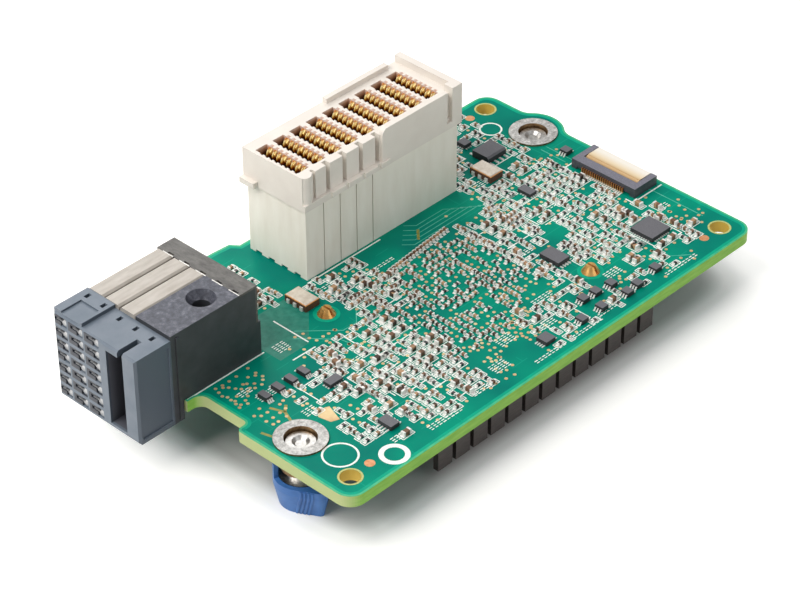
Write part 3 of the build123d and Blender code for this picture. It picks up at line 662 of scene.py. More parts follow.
def add_stroke(mesh, points, width, base=PRINT_HEIGHT, height=PRINT_HEIGHT):
    """Adds a ribbon of that width along points in board millimetres, with mitred corners."""
    points = [Vector(point) for point in points]
    legs = [(after - here).normalized() for here, after in zip(points, points[1:])]
    left, right = [], []
    for here, first, second in zip(points, legs[:1] + legs, legs + legs[-1:]):
        along = (first + second).normalized()
        across = Vector((-along.y, along.x))
        reach = width / 2 / max(SHARPEST_MITRE, across.dot(Vector((-first.y, first.x))))
        left.append(here + across * reach)
        right.append(here - across * reach)
    for i in range(len(legs)):
        add_slab(mesh, (right[i], right[i + 1], left[i + 1], left[i]), base, height)


def add_ring(mesh, x, y, inner, outer, base=PRINT_HEIGHT, height=PRINT_HEIGHT):
    """Adds a flat closed ring, or a disc where inner is 0."""
    turns = [2 * math.pi * k / RING_SIDES for k in range(RING_SIDES)]

    def circle(radius):
        return [(x + radius * math.cos(t), y + radius * math.sin(t)) for t in turns]

    if inner <= 0:
        add_slab(mesh, circle(outer), base, height)
        return
    top = base + height
    loops = [
        [mesh.verts.new(on_board(*place, z)) for place in circle(radius)]
        for radius, z in ((inner, base), (outer, base), (outer, top), (inner, top))]
    for first, second in zip(loops, loops[1:] + loops[:1]):
        add_walls(mesh, first, second)


# Geometry Nodes

GRID, OBJECT, JOIN = "GeometryNodeMeshGrid", "GeometryNodeObjectInfo", "GeometryNodeJoinGeometry"
PLACE, SWEEP = "GeometryNodeSetPosition", "GeometryNodeCurveToMesh"
INSTANCES, MATERIAL = "GeometryNodeInstanceOnPoints", "GeometryNodeSetMaterial"
TRANSFORM, COMBINE, VECTOR = "GeometryNodeTransform", "ShaderNodeCombineXYZ", "ShaderNodeVectorMath"
RANDOM, COMPARE, LOGIC = "FunctionNodeRandomValue", "FunctionNodeCompare", "FunctionNodeBooleanMath"


def new_tree(name, inputs):
    """A geometry tree with one output and named inputs, whose kinds follow from their defaults."""
    tree = bpy.data.node_groups.new(name, "GeometryNodeTree")
    for label, default in inputs.items():
        kind = SOCKETS[type(default)]
        socket = tree.interface.new_socket(name=label, in_out="INPUT", socket_type=kind)
        if default is not None:
            socket.default_value = default
    tree.interface.new_socket(name="Geometry", in_out="OUTPUT", socket_type="NodeSocketGeometry")
    return tree, add_node(tree, "NodeGroupInput").outputs


def end_tree(tree, geometry):
    """Realizes the instances and closes the tree."""
    real = add_node(tree, "GeometryNodeRealizeInstances", (geometry,))
    add_node(tree, "NodeGroupOutput", (real,))
    return tree


def tree_box(tree, size, place, finish):
    """A box in a tree, with its finish; size and place are in millimetres."""
    size, place = [tuple(v * MM for v in values) for values in (size, place)]
    cube = add_node(tree, "GeometryNodeMeshCube", {"Size": size})
    moved = add_node(tree, TRANSFORM, {"Geometry": cube, "Translation": place})
    return add_node(tree, MATERIAL, {"Geometry": moved, "Material": finish_of(finish)})


def chip_part(tree, size, body, outline=False):
    """A two-ended chip part: body, end caps, solder and, with an outline, printed brackets."""
    length, width, height = size
    cap = length * END_CAP_SHARE
    out = (length - cap) / 2 + CAP_EXCESS / 2
    boxes = []
    if body:
        boxes.append(((length - 2 * cap, width, height), (0, 0, height / 2 + LIFT), body))
    for side in (-1, 1):
        boxes += [
            ((cap, width + CAP_EXCESS, height + CAP_EXCESS),
             (side * out, 0, height / 2 + CAP_EXCESS), "tin"),
            ((cap + SOLDER_TOE, width + SOLDER_SIDE, 2 * LIFT),
             (side * (out + SOLDER_TOE / 2), 0, LIFT), "tin")]
        if outline:
            end, flank = length / 2 + BRACKET_AWAY, width / 2 + BRACKET_BESIDE
            boxes += [
                ((BRACKET_LINE, 2 * flank, INK), (side * end, 0, INK), "silk"),
                ((2 * end, BRACKET_LINE, INK), (0, side * flank, INK), "silk")]
    return add_node(tree, JOIN, ([tree_box(tree, *box) for box in boxes],))


def field_tree(name, outline):
    """A field of soldered chip parts and vias on a loose grid, kept to free board."""
    tree, given = new_tree(name, {
        "Room": None, "Taken": None, "Centre": NOWHERE, "Length": 0.01, "Width": 0.01, "Columns": 8,
        "Rows": 8, "Stray": 0.0001, "Turned": 0.3, "Seed": 0, "Small capacitors": 0.4,
        "Resistors": 0.2, "Large capacitors": 0.1, "Vias": 0.1})
    grid = add_node(tree, GRID, [given[label] for label in ("Length", "Width", "Columns", "Rows")])
    low, high = [
        add_node(tree, VECTOR, {0: (way, way, 0.0), "Scale": given["Stray"]}, operation="SCALE")
        for way in (-1.0, 1.0)]
    seed = given["Seed"]
    stray = add_node(tree, RANDOM, {0: low, 1: high, "Seed": seed}, data_type="FLOAT_VECTOR")
    offset = add_node(tree, VECTOR, (stray, given["Centre"]), operation="ADD")
    placed = add_node(tree, PLACE, {"Geometry": grid, "Offset": offset})
    position = add_node(tree, "GeometryNodeInputPosition")
    above = add_node(tree, VECTOR, (position, (0.0, 0.0, LOOK_FROM)), operation="ADD")
    hits = []
    for target in ("Room", "Taken"):
        shape = add_node(tree, OBJECT, {"Object": given[target]}).outputs["Geometry"]
        hits.append(add_node(tree, "GeometryNodeRaycast", {
            "Target Geometry": shape, "Source Position": above, "Ray Direction": (0.0, 0.0, -1.0),
            "Ray Length": 2 * LOOK_FROM}))
    free = add_node(tree, LOGIC, hits, operation="NIMPLY")
    points = add_node(tree, "GeometryNodeSeparateGeometry", (placed, free), domain="POINT")
    seeds = [add_node(tree, MATH, (seed, more), operation="ADD") for more in (1.0, 2.0)]
    picker = add_node(tree, RANDOM, {"Seed": seeds[0]}, data_type="FLOAT")
    turned = add_node(tree, RANDOM, {6: given["Turned"], "Seed": seeds[1]}, data_type="BOOLEAN")
    quarter = add_node(tree, MATH, (turned, QUARTER), operation="MULTIPLY")
    turn = add_node(tree, COMBINE, {2: quarter})
    disc = add_node(tree, "GeometryNodeMeshCylinder", {
        "Vertices": 12, "Radius": 0.31 * MM, "Depth": 0.03 * MM})
    dot = add_node(tree, TRANSFORM, {"Geometry": disc, "Translation": (0.0, 0.0, 0.015 * MM)})
    kinds = {
        "Small capacitors": chip_part(tree, (1.0, 0.5, 0.5), "capacitor", outline),
        "Resistors": chip_part(tree, (1.0, 0.5, 0.32), "resistor", outline),
        "Large capacitors": chip_part(tree, LARGE_CAPACITOR, "capacitor", outline),
        "Vias": add_node(tree, MATERIAL, {"Geometry": dot, "Material": finish_of("via")}),
    }
    made, share = [], 0.0
    for label, piece in kinds.items():
        # Each kind takes the points whose random number lies in its share
        most = add_node(tree, MATH, (share, given[label]), operation="ADD")
        over = add_node(tree, COMPARE, (picker, share), operation="GREATER_EQUAL")
        under = add_node(tree, COMPARE, (picker, most), operation="LESS_THAN")
        made.append(add_node(tree, INSTANCES, {
            "Points": points, "Selection": add_node(tree, LOGIC, (over, under), operation="AND"),
            "Instance": piece, "Rotation": turn}))
        share = most
    return end_tree(tree, add_node(tree, JOIN, (made,)))


def block_tree(name, size, finish):
    """Equal small blocks on a grid, such as printed dashes or soldered tails."""
    tree, given = new_tree(name, {
        "Centre": NOWHERE, "Length": 0.01, "Width": 0.01, "Columns": 8, "Rows": 2, "Seed": 0})
    grid = add_node(tree, GRID, [given[label] for label in ("Length", "Width", "Columns", "Rows")])
    placed = add_node(tree, PLACE, {"Geometry": grid, "Offset": given["Centre"]})
    share = add_node(tree, RANDOM, {2: 0.75, 3: 1.0, "Seed": given["Seed"]}, data_type="FLOAT")
    scale = add_node(tree, COMBINE, (share, share, 1.0))
    piece = tree_box(tree, size, (0, 0, size[2] / 2), finish)
    return end_tree(tree, add_node(tree, INSTANCES, {
        "Points": placed, "Instance": piece, "Scale": scale}))


def at_places(tree, given, piece):
    """Puts a piece on each point of the places and closes the tree."""
    places = add_node(tree, OBJECT, {"Object": given["Places"]}).outputs["Geometry"]
    return end_tree(tree, add_node(tree, INSTANCES, {
        "Points": places, "Instance": piece, "Rotation": given["Turn"]}))


def end_cap_tree(name):
    """Solder, end caps and printed brackets for the larger ceramic capacitors."""
    tree, given = new_tree(name, {"Places": None, "Turn": NOWHERE})
    return at_places(tree, given, chip_part(tree, LARGE_CAPACITOR, None, True))


def bow_tree(name):
    """Bowed contact tips: a flat strip swept along an arc that bellies towards the blade."""
    tree, given = new_tree(name, {
        "Places": None, "Turn": NOWHERE, "Width": 0.0005, "Thickness": 0.00012, "Belly": 0.0011,
        "Height": 0.0019})
    across, down, foot = [
        add_node(tree, MATH, (given[label], factor), operation="MULTIPLY")
        for label, factor in (("Belly", -1.0), ("Height", -0.38), ("Height", -1.0))]
    arc = add_node(tree, "GeometryNodeCurveQuadraticBezier", {
        "Resolution": 10, "Start": (0.12 * MM, 0.0, 0.0),
        "Middle": add_node(tree, COMBINE, {0: across, 2: down}),
        "End": add_node(tree, COMBINE, {2: foot})})
    section = add_node(tree, "GeometryNodeCurvePrimitiveQuadrilateral", {
        "Width": given["Thickness"], "Height": given["Width"]})
    strip = add_node(tree, SWEEP, {"Curve": arc, "Profile Curve": section, "Fill Caps": True})
    return at_places(tree, given, add_node(tree, MATERIAL, {
        "Geometry": strip, "Material": finish_of("gold")}))


def spring_tree(name):
    """Two compression springs: a helix swept with round wire."""
    tree, given = new_tree(name, {
        "First": NOWHERE, "Second": NOWHERE, "Radius": 0.0017, "Height": 0.002, "Turns": 3.5,
        "Wire": 0.00018})
    helix = add_node(tree, "GeometryNodeCurveSpiral", {
        "Resolution": 24, "Rotations": given["Turns"], "Start Radius": given["Radius"],
        "End Radius": given["Radius"], "Height": given["Height"]})
    section = add_node(tree, "GeometryNodeCurvePrimitiveCircle", {
        "Resolution": 8, "Radius": given["Wire"]})
    wire = add_node(tree, SWEEP, {"Curve": helix, "Profile Curve": section, "Fill Caps": True})
    wire = add_node(tree, MATERIAL, {"Geometry": wire, "Material": finish_of("spring")})
    springs = [
        add_node(tree, TRANSFORM, {"Geometry": wire, "Translation": given[place]})
        for place in ("First", "Second")]
    return end_tree(tree, add_node(tree, JOIN, (springs,)))


def chip_row_tree(name):
    """A straight row of small capacitors between two points."""
    tree, given = new_tree(name, {"Start": NOWHERE, "End": NOWHERE, "Count": 15})
    line = add_node(tree, "GeometryNodeCurvePrimitiveLine", {
        "Start": given["Start"], "End": given["End"]})
    points = add_node(tree, "GeometryNodeCurveToPoints", {"Curve": line, "Count": given["Count"]})
    part = chip_part(tree, (1.0, 0.5, 0.5), "capacitor")
    return end_tree(tree, add_node(tree, INSTANCES, {
        "Points": points, "Instance": part, "Rotation": (0.0, 0.0, QUARTER)}))


def run_tree(tree, name, **values):
    """The plain mesh that a tree makes with those inputs."""
    holder = add_object(name + "_source", bpy.data.meshes.new(name + "_source"))
    modifier = holder.modifiers.new("Pattern", "NODES")
    modifier.node_group = tree
    for item in tree.interface.items_tree:
        label = item.name.replace(" ", "_")
        if item.in_out == "INPUT" and label in values:
            modifier[item.identifier] = values[label]
    graph = bpy.context.evaluated_depsgraph_get()
    graph.update()
    mesh = bpy.data.meshes.new_from_object(holder.evaluated_get(graph), depsgraph=graph)
    mesh.name = name
    holder.modifiers.remove(modifier)
    bpy.data.objects.remove(holder)
    return mesh


def join_meshes(name, meshes):
    """One mesh from several, with their materials kept."""
    holders = [add_object(f"{name}_{i}", mesh) for i, mesh in enumerate(meshes)]
    with bpy.context.temp_override(
        active_object=holders[0], selected_objects=holders, selected_editable_objects=holders
    ):
        bpy.ops.object.join()
    joined = holders[0].data
    joined.name = name
    bpy.data.objects.remove(holders[0])
    return joined


def run_at_places(tree, name, *groups):
    """One mesh of a tree's pieces on groups of points, each with input values of its own."""
    meshes = []
    for points, values in groups:
        mesh = bpy.data.meshes.new(name + "_places")
        mesh.from_pydata(points, [], [])
        places = add_object(name + "_places", mesh)
        meshes.append(run_tree(tree, name + "_part", Places=places, **values))
        bpy.data.objects.remove(places)
    return join_meshes(name, meshes)


# What a user would change


def colour_setting(name, description, code):
    """A colour of the user's."""
    return FloatVectorProperty(
        name=name, description=description, subtype="COLOR", size=4, min=0, max=1,
        default=colour(code))


def length_setting(name, description, usual, least, most):
    """A length of the user's; the values are in millimetres."""
    return FloatProperty(
        name=name, description=description, unit="LENGTH", precision=5, default=usual * MM,
        min=least * MM, max=most * MM)


class CardLook(bpy.types.PropertyGroup):
    """Colours of the card's main finishes."""

    mask: colour_setting("Solder mask", "Green of the board over copper", "007466")
    border: colour_setting("Bare edge", "Brighter green along the board's edge", "009479")
    knob: colour_setting("Knobs", "Blue of the captive screws' knobs", "2F5F9E")
    ivory: colour_setting("Stacking connector", "Off-white of the tall connector", "F2EDE3")
    front: colour_setting("Front housing", "Blue-grey of the connector's front", "5F6B78")
    chip: colour_setting("Chips", "Charcoal of the chip packages", "4A494D")
    fin: colour_setting("Heat sink", "Brown-black of the fins", "3A3331")


class CardSizes(bpy.types.PropertyGroup):
    """Sizes of the small parts and prints that dress the board."""

    part_pitch: length_setting("Part pitch", "Distance between chip parts", 1.75, 1.2, 4)
    via_pitch: length_setting("Via pitch", "Distance between vias in a group", 1.45, 1, 4)
    border_width: length_setting("Bare edge width", "Strip without copper", 1.0, 0.3, 3)
    print_width: length_setting("Print line width", "Width of the printed lines", 0.22, 0.1, 0.6)
    spring_turns: FloatProperty(
        name="Spring turns", description="Turns of the springs on the heat sink's pins",
        default=3.5, min=1, max=8)
    seed: IntProperty(name="Seed", description="Seed of the small parts' places", default=7, min=0)


# Room for small parts: the board's top face drawn in from its edges, less what stands on it

STANDING = [
    "screw_ferrules", "stack_wafers", "stack_base", "backplane_guide_block", "backplane_wafers",
    "flat_cable_housing", "flat_cable_actuator", "flat_cable_contacts", "oscillator_bodies",
    "memory_chip", "thin_chip", "square_chip", "small_chips", "sensor_chips", "transistor_row",
    "transistor_packs", "heat_sink_pins", "chip_leads", "chip_capacitors",
]
CLEARANCE = 0.75 * MM


def top_region(inset):
    """The board's top face drawn in by inset, and the strip of faces round it."""
    copy = merged_copy("circuit_board")
    other = [
        face for face in copy.faces
        if face.normal.z <= 0.9 or abs(face.calc_center_median().z - BOARD_TOP) >= FLATNESS]
    bmesh.ops.delete(copy, geom=other, context="FACES")
    made = bmesh.ops.inset_region(
        copy, faces=copy.faces[:], thickness=inset, use_boundary=True, use_even_offset=True)
    return copy, set(made["faces"])


def make_room():
    """The two unseen shapes that keep small parts off the edges and off the chips."""
    room, strip = top_region(1.6 * MM)
    bmesh.ops.delete(room, geom=list(strip), context="FACES")
    taken = bmesh.new()
    grow = Vector((CLEARANCE, CLEARANCE, 0))
    for node in STANDING:
        for low, high in islands(node):
            if high.z > BOARD_TOP + 0.1 * MM:
                add_box(taken, low - grow, high + grow)
    for x, y, reach in BARE_PLACES:
        add_box(taken, on_board(x - reach, y - reach), on_board(x + reach, y + reach, 1.0))
    return {
        "Room": add_object("room", finished_mesh("room", room)),
        "Taken": add_object("taken", finished_mesh("taken", taken))}


# Places on the board, in millimetres from its near left corner

# Places kept free of small parts (x, y, half size)
BARE_PLACES = [
    (7.0, 9.2, 3.4), (13.1, 3.1, 2.9), (93.5, 55.3, 2.6), (76.0, 24.6, 2.4), (46.5, 5.5, 2.8),
    (8.8, 4.4, 1.0), (93.4, 4.55, 1.3), (93.6, 60.6, 1.3), (32.1, 37.2, 2.6), (72.2, 12.6, 2.6),
    (12.7, 17.7, 1.6),
]

# Holes: the tooling holes, then the ferrules and the heat sink's pins (x, y, radius)
HOLES = [
    (4.3, 4.3, 1.75), (97.8, 4.6, 1.75), (97.9, 60.6, 1.75), (5.55, 16.7, 3.5),
    (97.95, 48.7, 3.5), (32.1, 37.2, 1.4), (72.2, 12.6, 1.4),
]

# Dense fields of parts: x from, x to, y from, y to, outlines, and shares of the four kinds
FIELDS = [
    (38.0, 58.0, 12.5, 37.0, False, 0.54, 0.08, 0.00, 0.26),
    (58.0, 66.0, 18.0, 37.0, False, 0.42, 0.08, 0.00, 0.30),
    (12.5, 22.0, 8.5, 26.5, True, 0.48, 0.20, 0.04, 0.22),
    (22.0, 37.5, 4.0, 22.0, True, 0.46, 0.20, 0.04, 0.23),
    (22.5, 37.0, 22.0, 31.0, True, 0.44, 0.20, 0.05, 0.20),
    (33.5, 46.0, 38.5, 45.0, True, 0.44, 0.24, 0.04, 0.20),
    (36.5, 47.0, 30.0, 38.5, True, 0.40, 0.20, 0.05, 0.24),
    (17.5, 30.0, 46.0, 60.0, True, 0.32, 0.16, 0.06, 0.24),
    (53.0, 70.5, 3.0, 12.0, True, 0.36, 0.22, 0.04, 0.22),
    (66.0, 75.0, 14.5, 38.0, True, 0.40, 0.22, 0.04, 0.22),
    (74.0, 92.5, 14.0, 38.0, True, 0.44, 0.22, 0.04, 0.20),
    (75.5, 92.5, 38.0, 62.0, True, 0.42, 0.22, 0.05, 0.20),
    (84.0, 95.5, 6.0, 14.0, True, 0.38, 0.20, 0.05, 0.20),
    (74.0, 84.0, 3.5, 14.0, True, 0.20, 0.14, 0.04, 0.14),
]

# Groups of vias: x from, x to, y from, y to, share
VIA_GROUPS = [
    (3.5, 12.5, 30.0, 36.0, 0.55), (5.0, 12.0, 22.5, 27.0, 0.45), (17.5, 24.0, 33.5, 36.5, 0.4),
    (42.0, 53.0, 7.5, 13.0, 0.75), (36.0, 42.0, 3.5, 9.0, 0.5), (26.0, 33.0, 31.5, 35.0, 0.12),
    (48.0, 56.0, 9.5, 13.0, 0.6), (92.5, 99.5, 8.0, 20.0, 0.42), (92.0, 97.0, 37.5, 42.0, 0.35),
    (66.0, 80.0, 38.0, 45.0, 0.12), (20.0, 34.0, 58.5, 62.0, 0.3), (2.0, 16.0, 58.6, 62.5, 0.3),
    (80.0, 92.0, 2.0, 5.0, 0.35), (18.0, 30.0, 27.0, 33.0, 0.35), (3.0, 12.0, 26.5, 36.5, 0.35),
    (66.0, 76.0, 4.0, 12.0, 0.45), (84.0, 96.0, 36.0, 44.0, 0.35), (92.5, 96.0, 20.0, 36.0, 0.3),
    (40.0, 52.0, 3.0, 8.0, 0.35), (56.0, 66.0, 12.5, 18.5, 0.4), (24.0, 34.0, 30.5, 36.0, 0.2),
]

# Columns of printed dashes beside the parts: centre x, centre y, columns, rows
DASH_BLOCKS = [
    (11.6, 20.7, 3, 4), (7.6, 31.8, 3, 3), (41.5, 6.2, 4, 5), (55.8, 8.0, 4, 3),
    (34.5, 5.0, 4, 6), (66.0, 3.2, 6, 2), (79.5, 20.6, 6, 4), (72.5, 17.5, 5, 3),
    (84.0, 31.0, 5, 4), (90.5, 11.5, 3, 5), (60.5, 13.6, 5, 3), (27.5, 24.6, 4, 3),
    (38.5, 42.8, 6, 2), (80.0, 44.5, 5, 4), (86.5, 49.5, 4, 4), (20.3, 36.2, 3, 5),
    (96.0, 16.0, 3, 3), (18.7, 13.2, 3, 3), (48.8, 40.2, 6, 2), (9.6, 28.8, 4, 4),
    (25.2, 3.4, 8, 3), (32.6, 12.0, 4, 4), (17.0, 5.6, 4, 3), (23.6, 21.6, 4, 3),
    (47.5, 10.4, 4, 5), (59.0, 2.4, 9, 2), (50.0, 2.4, 8, 2), (84.5, 2.5, 9, 2),
    (74.5, 9.6, 4, 4), (68.5, 24.6, 4, 3), (81.0, 26.2, 4, 3), (90.6, 25.4, 3, 5),
    (88.6, 38.6, 5, 3), (79.2, 50.4, 4, 4), (84.4, 57.2, 4, 4), (31.0, 20.6, 4, 2),
    (36.0, 27.6, 3, 4), (43.5, 40.4, 4, 3),
]

# Printed outlines round groups of parts: x from, x to, y from, y to
PRINT_BOXES = [
    (29.5, 36.5, 24.5, 30.5), (33.0, 41.0, 17.5, 23.0), (24.0, 31.5, 12.5, 19.0),
    (37.0, 45.5, 31.5, 36.5), (14.5, 20.5, 20.0, 26.0), (26.0, 33.5, 5.5, 10.0),
    (66.5, 73.0, 27.5, 34.0), (76.5, 84.5, 27.5, 34.5), (85.5, 92.0, 8.5, 16.5),
    (77.0, 84.0, 40.5, 47.0), (85.0, 91.5, 41.5, 46.5), (55.0, 62.0, 4.0, 9.0),
    (76.0, 83.0, 52.0, 58.5), (19.0, 28.5, 48.0, 56.0),
]

# Printed lines: the right-angle connector's side, the corner behind it and the flat-cable connector
PRINT_LINES = [
    [(-0.2, 37.25), (17.3, 37.25)],
    [(24.4, 42.3), (24.4, 33.9)],
    [(24.3, 32.1), (19.1, 32.2)],
    [(101.2, 20.6), (93.2, 20.6), (93.2, 22.4)],
    [(93.2, 35.2), (93.2, 36.9), (101.2, 36.9)],
    [(36.0, 45.7), (54.0, 45.7)],
    [(78.6, 16.6), (86.0, 16.6), (86.0, 14.8)],
]

# Printed rings (x, y, inner and outer radius) and bare copper dots (x, y, radius)
PRINT_RINGS = [(7.0, 9.2, 2.75, 3.1), (13.1, 3.1, 1.7, 2.6), (93.5, 55.3, 1.85, 2.2)]
FIDUCIALS = [(8.8, 4.4, 0.9), (93.4, 4.55, 0.9), (93.6, 60.6, 0.9)]

# Tracks that show through the mask
TRACKS = [
    [(24.8, 37.8), (27.2, 35.4), (30.7, 31.9), (33.8, 31.8), (37.2, 35.2)],
    [(23.2, 36.4), (25.6, 34.0), (28.6, 30.4), (29.4, 26.4), (31.6, 23.6), (40.6, 24.2)],
    [(76.0, 6.0), (84.5, 6.0), (88.0, 3.0)],
    [(96.2, 44.0), (96.2, 24.0), (98.6, 21.0), (98.6, 9.0)],
    [(94.8, 44.0), (94.8, 38.0)],
]
OLIVE_TRACKS = [
    [(7.6, 26.0), (8.6, 23.4), (7.4, 20.4)],
    [(10.0, 24.6), (8.6, 23.4)],
    [(2.2, 22.4), (3.2, 19.0)],
    [(22.0, 28.6), (24.6, 27.4), (26.0, 24.8)],
    [(58.6, 40.8), (60.8, 43.0)],
]

# Outlines of a bare gold pad and of the hatched pour
GOLD_PATCH = [(11.9, 16.2), (13.4, 15.6), (14.6, 19.2), (12.6, 20.0), (11.4, 18.6)]
POUR_PATCH = [(17.6, 33.6), (24.2, 33.6), (31.0, 40.4), (31.0, 45.4), (17.6, 45.4)]

# Parallel tracks that step back one by one, and the row of capacitors: start, end, count
MEANDERS = [
    [(left - 1.6, y + 1.6), (left, y), (right, y), (right + 1.4, y - 1.4)]
    for left, right, y in [(57.0 + i * 1.1, 73.6 - i * 1.3, 40.2 + i * 0.95) for i in range(5)]]
CAPACITOR_ROW = (48.3, 37.6), (63.8, 39.2), 17


def field_mesh(tree, name, area, shares, helpers, seed, pitch, stray, turned):
    """The mesh of one field of parts or vias."""
    x0, x1, y0, y1 = area
    size = (x1 - x0) * MM, (y1 - y0) * MM
    columns, rows = [max(2, round(size[i] / pitch[i]) + 1) for i in (0, 1)]
    small, resistors, large, vias = shares
    return run_tree(
        tree, name, Centre=on_board((x0 + x1) / 2, (y0 + y1) / 2), Length=size[0], Width=size[1],
        Columns=columns, Rows=rows, Stray=stray, Turned=turned, Seed=seed, Small_capacitors=small,
        Resistors=resistors, Large_capacitors=large, Vias=vias, **helpers)


# Operators, one for each group of pieces


class CARD_OT_board(bpy.types.Operator):
    """Finish the board: mask, bare edge, pour, tracks and printed marks"""

    bl_idname = "card.board"
    bl_label = "Board finish"

    def execute(self, context):
        dress("solder_mask", "circuit_board")
        sizes = context.scene.card_sizes
        width = sizes.border_width
        self.add_strip("bare_edge_strip", width, EDGE_HEIGHT, "border")
        self.add_strip("lit_rim_strip", width * RIM_SHARE, RIM_HEIGHT, "lit_edge")
        self.add_tracks()
        self.add_prints(sizes.print_width / MM)
        return {"FINISHED"}

    def add_strip(self, name, width, top, finish):
        """A thin strip of mask along the board's outline, left out round the holes."""
        mesh, strip = top_region(width)
        spare = set(mesh.faces) - strip
        for x, y, radius in HOLES:
            middle, reach = on_board(x, y), (radius + 0.2) * MM + width
            spare |= {
                face for face in strip
                if all((v.co - middle).to_2d().length < reach for v in face.verts)}
        bmesh.ops.delete(mesh, geom=list(spare), context="FACES")
        bmesh.ops.translate(mesh, verts=mesh.verts, vec=(0, 0, top * MM))
        bmesh.ops.solidify(mesh, geom=mesh.faces[:], thickness=PRINT_HEIGHT * MM)
        add_piece(name, mesh, finish)

    def add_tracks(self):
        """Tracks and the pour under the mask, fiducials and a test pad."""
        tracks, olive, pour, pads, patch = [bmesh.new() for _ in range(5)]
        for mesh, lines, width in (
            (tracks, TRACKS, 0.16), (tracks, MEANDERS, 0.15), (olive, OLIVE_TRACKS, 0.5)
        ):
            for points in lines:
                add_stroke(mesh, points, width, *TRACK_LAYER)
        add_slab(pour, POUR_PATCH, 0.002, 0.004)
        for x, y, radius in FIDUCIALS:
            add_ring(pads, x, y, 0, radius, 0.008, 0.012)
        add_slab(patch, GOLD_PATCH, 0.008, 0.014)
        add_piece("masked_tracks", tracks, "trace")
        add_piece("hatched_pour", pour, "pour")
        add_piece("olive_tracks", olive, "bare_trace")
        add_piece("fiducials", pads, "copper")
        add_piece("test_pad", patch, "via")

    def add_prints(self, width):
        """Printed lines and rings, and the bare rings round pins and holes."""
        prints, rings, rims = bmesh.new(), bmesh.new(), bmesh.new()
        for points in PRINT_LINES:
            add_stroke(prints, points, width * 1.3)
        for x0, x1, y0, y1 in PRINT_BOXES:
            add_stroke(prints, [(x0 + PRINT_GAP, y0), (x1, y0), (x1, y1 - PRINT_GAP)], width)
            add_stroke(prints, [(x1 - PRINT_GAP, y1), (x0, y1), (x0, y0 + PRINT_GAP)], width)
        for ring in PRINT_RINGS:
            add_ring(prints, *ring)
        add_piece("printed_lines", prints, "silk")
        for low, high in islands("heat_sink_pins"):
            centre = ((low + high) / 2 - CORNER) / MM
            add_ring(rings, centre.x, centre.y, *PIN_RING)
        add_piece("bare_rings", rings, "border")
        for x, y, radius in HOLES[:3]:
            add_ring(rims, x, y, radius + 0.01, radius + RIM_WIDTH, *RIM_LAYER)
        add_piece("hole_rims", rims, "rim")


class CARD_OT_small_parts(bpy.types.Operator):
    """Solder the fields of chip parts, the vias and the printed dashes"""

    bl_idname = "card.small_parts"
    bl_label = "Small parts"

    def execute(self, context):
        sizes = context.scene.card_sizes
        helpers = make_room()
        plain, boxed = field_tree("part_field", False), field_tree("outlined_part_field", True)
        part, via = sizes.part_pitch, sizes.via_pitch
        meshes = []
        for i, (*area, outlined, small, resistors, large, vias) in enumerate(FIELDS):
            # Parts with outlines stand further apart, and fewer of them are turned
            tree, along, across, turned = (
                (boxed, part * 1.22, part * 0.78, 0.35) if outlined
                else (plain, part * 0.9, part * 0.8, 0.5))
            meshes.append(field_mesh(
                tree, f"field_{i}", area, (small, resistors, large, vias), helpers,
                sizes.seed + SEED_STEP * i, (along, across), PART_STRAY, turned))
        add_piece("chip_parts", join_meshes("chip_parts", meshes))
        meshes = [
            field_mesh(
                plain, f"vias_{i}", area, (0, 0, 0, share), helpers, sizes.seed + VIA_SEED + i,
                (via, via), VIA_STRAY, 0)
            for i, (*area, share) in enumerate(VIA_GROUPS)]
        add_piece("vias", join_meshes("vias", meshes))
        for helper in helpers.values():
            bpy.data.objects.remove(helper)
        self.add_end_caps()
        start, end, count = CAPACITOR_ROW
        add_piece("capacitor_row", run_tree(
            chip_row_tree("row_of_capacitors"), "capacitor_row", Start=on_board(*start),
            End=on_board(*end), Count=count))
        self.add_dashes(sizes.seed)
        return {"FINISHED"}

    def add_end_caps(self):
        """Dresses the CAD capacitors and gives each its end caps, solder and printed bracket."""
        dress("capacitor", "chip_capacitors")
        along_x, along_y = [], []
        for low, high in islands("chip_capacitors"):
            place = (*((low + high) / 2).xy, BOARD_TOP)
            (along_x if high.x - low.x > high.y - low.y else along_y).append(place)
        add_piece("capacitor_end_caps", run_at_places(
            end_cap_tree("end_caps"), "capacitor_end_caps", (along_x, {"Turn": (0.0, 0.0, 0.0)}),
            (along_y, {"Turn": (0.0, 0.0, QUARTER)})))

    def add_dashes(self, seed):
        """Rows of short printed dashes beside the parts."""
        tree = block_tree("dash_block", (0.72, 0.2, INK), "silk")
        along, across = DASH_PITCH
        meshes = [
            run_tree(
                tree, f"dashes_{i}", Centre=on_board(x, y, PRINT_HEIGHT),
                Length=(columns - 1) * along * MM, Width=(rows - 1) * across * MM,
                Columns=columns, Rows=rows, Seed=seed + i)
            for i, (x, y, columns, rows) in enumerate(DASH_BLOCKS)]
        add_piece("printed_dashes", join_meshes("printed_dashes", meshes))


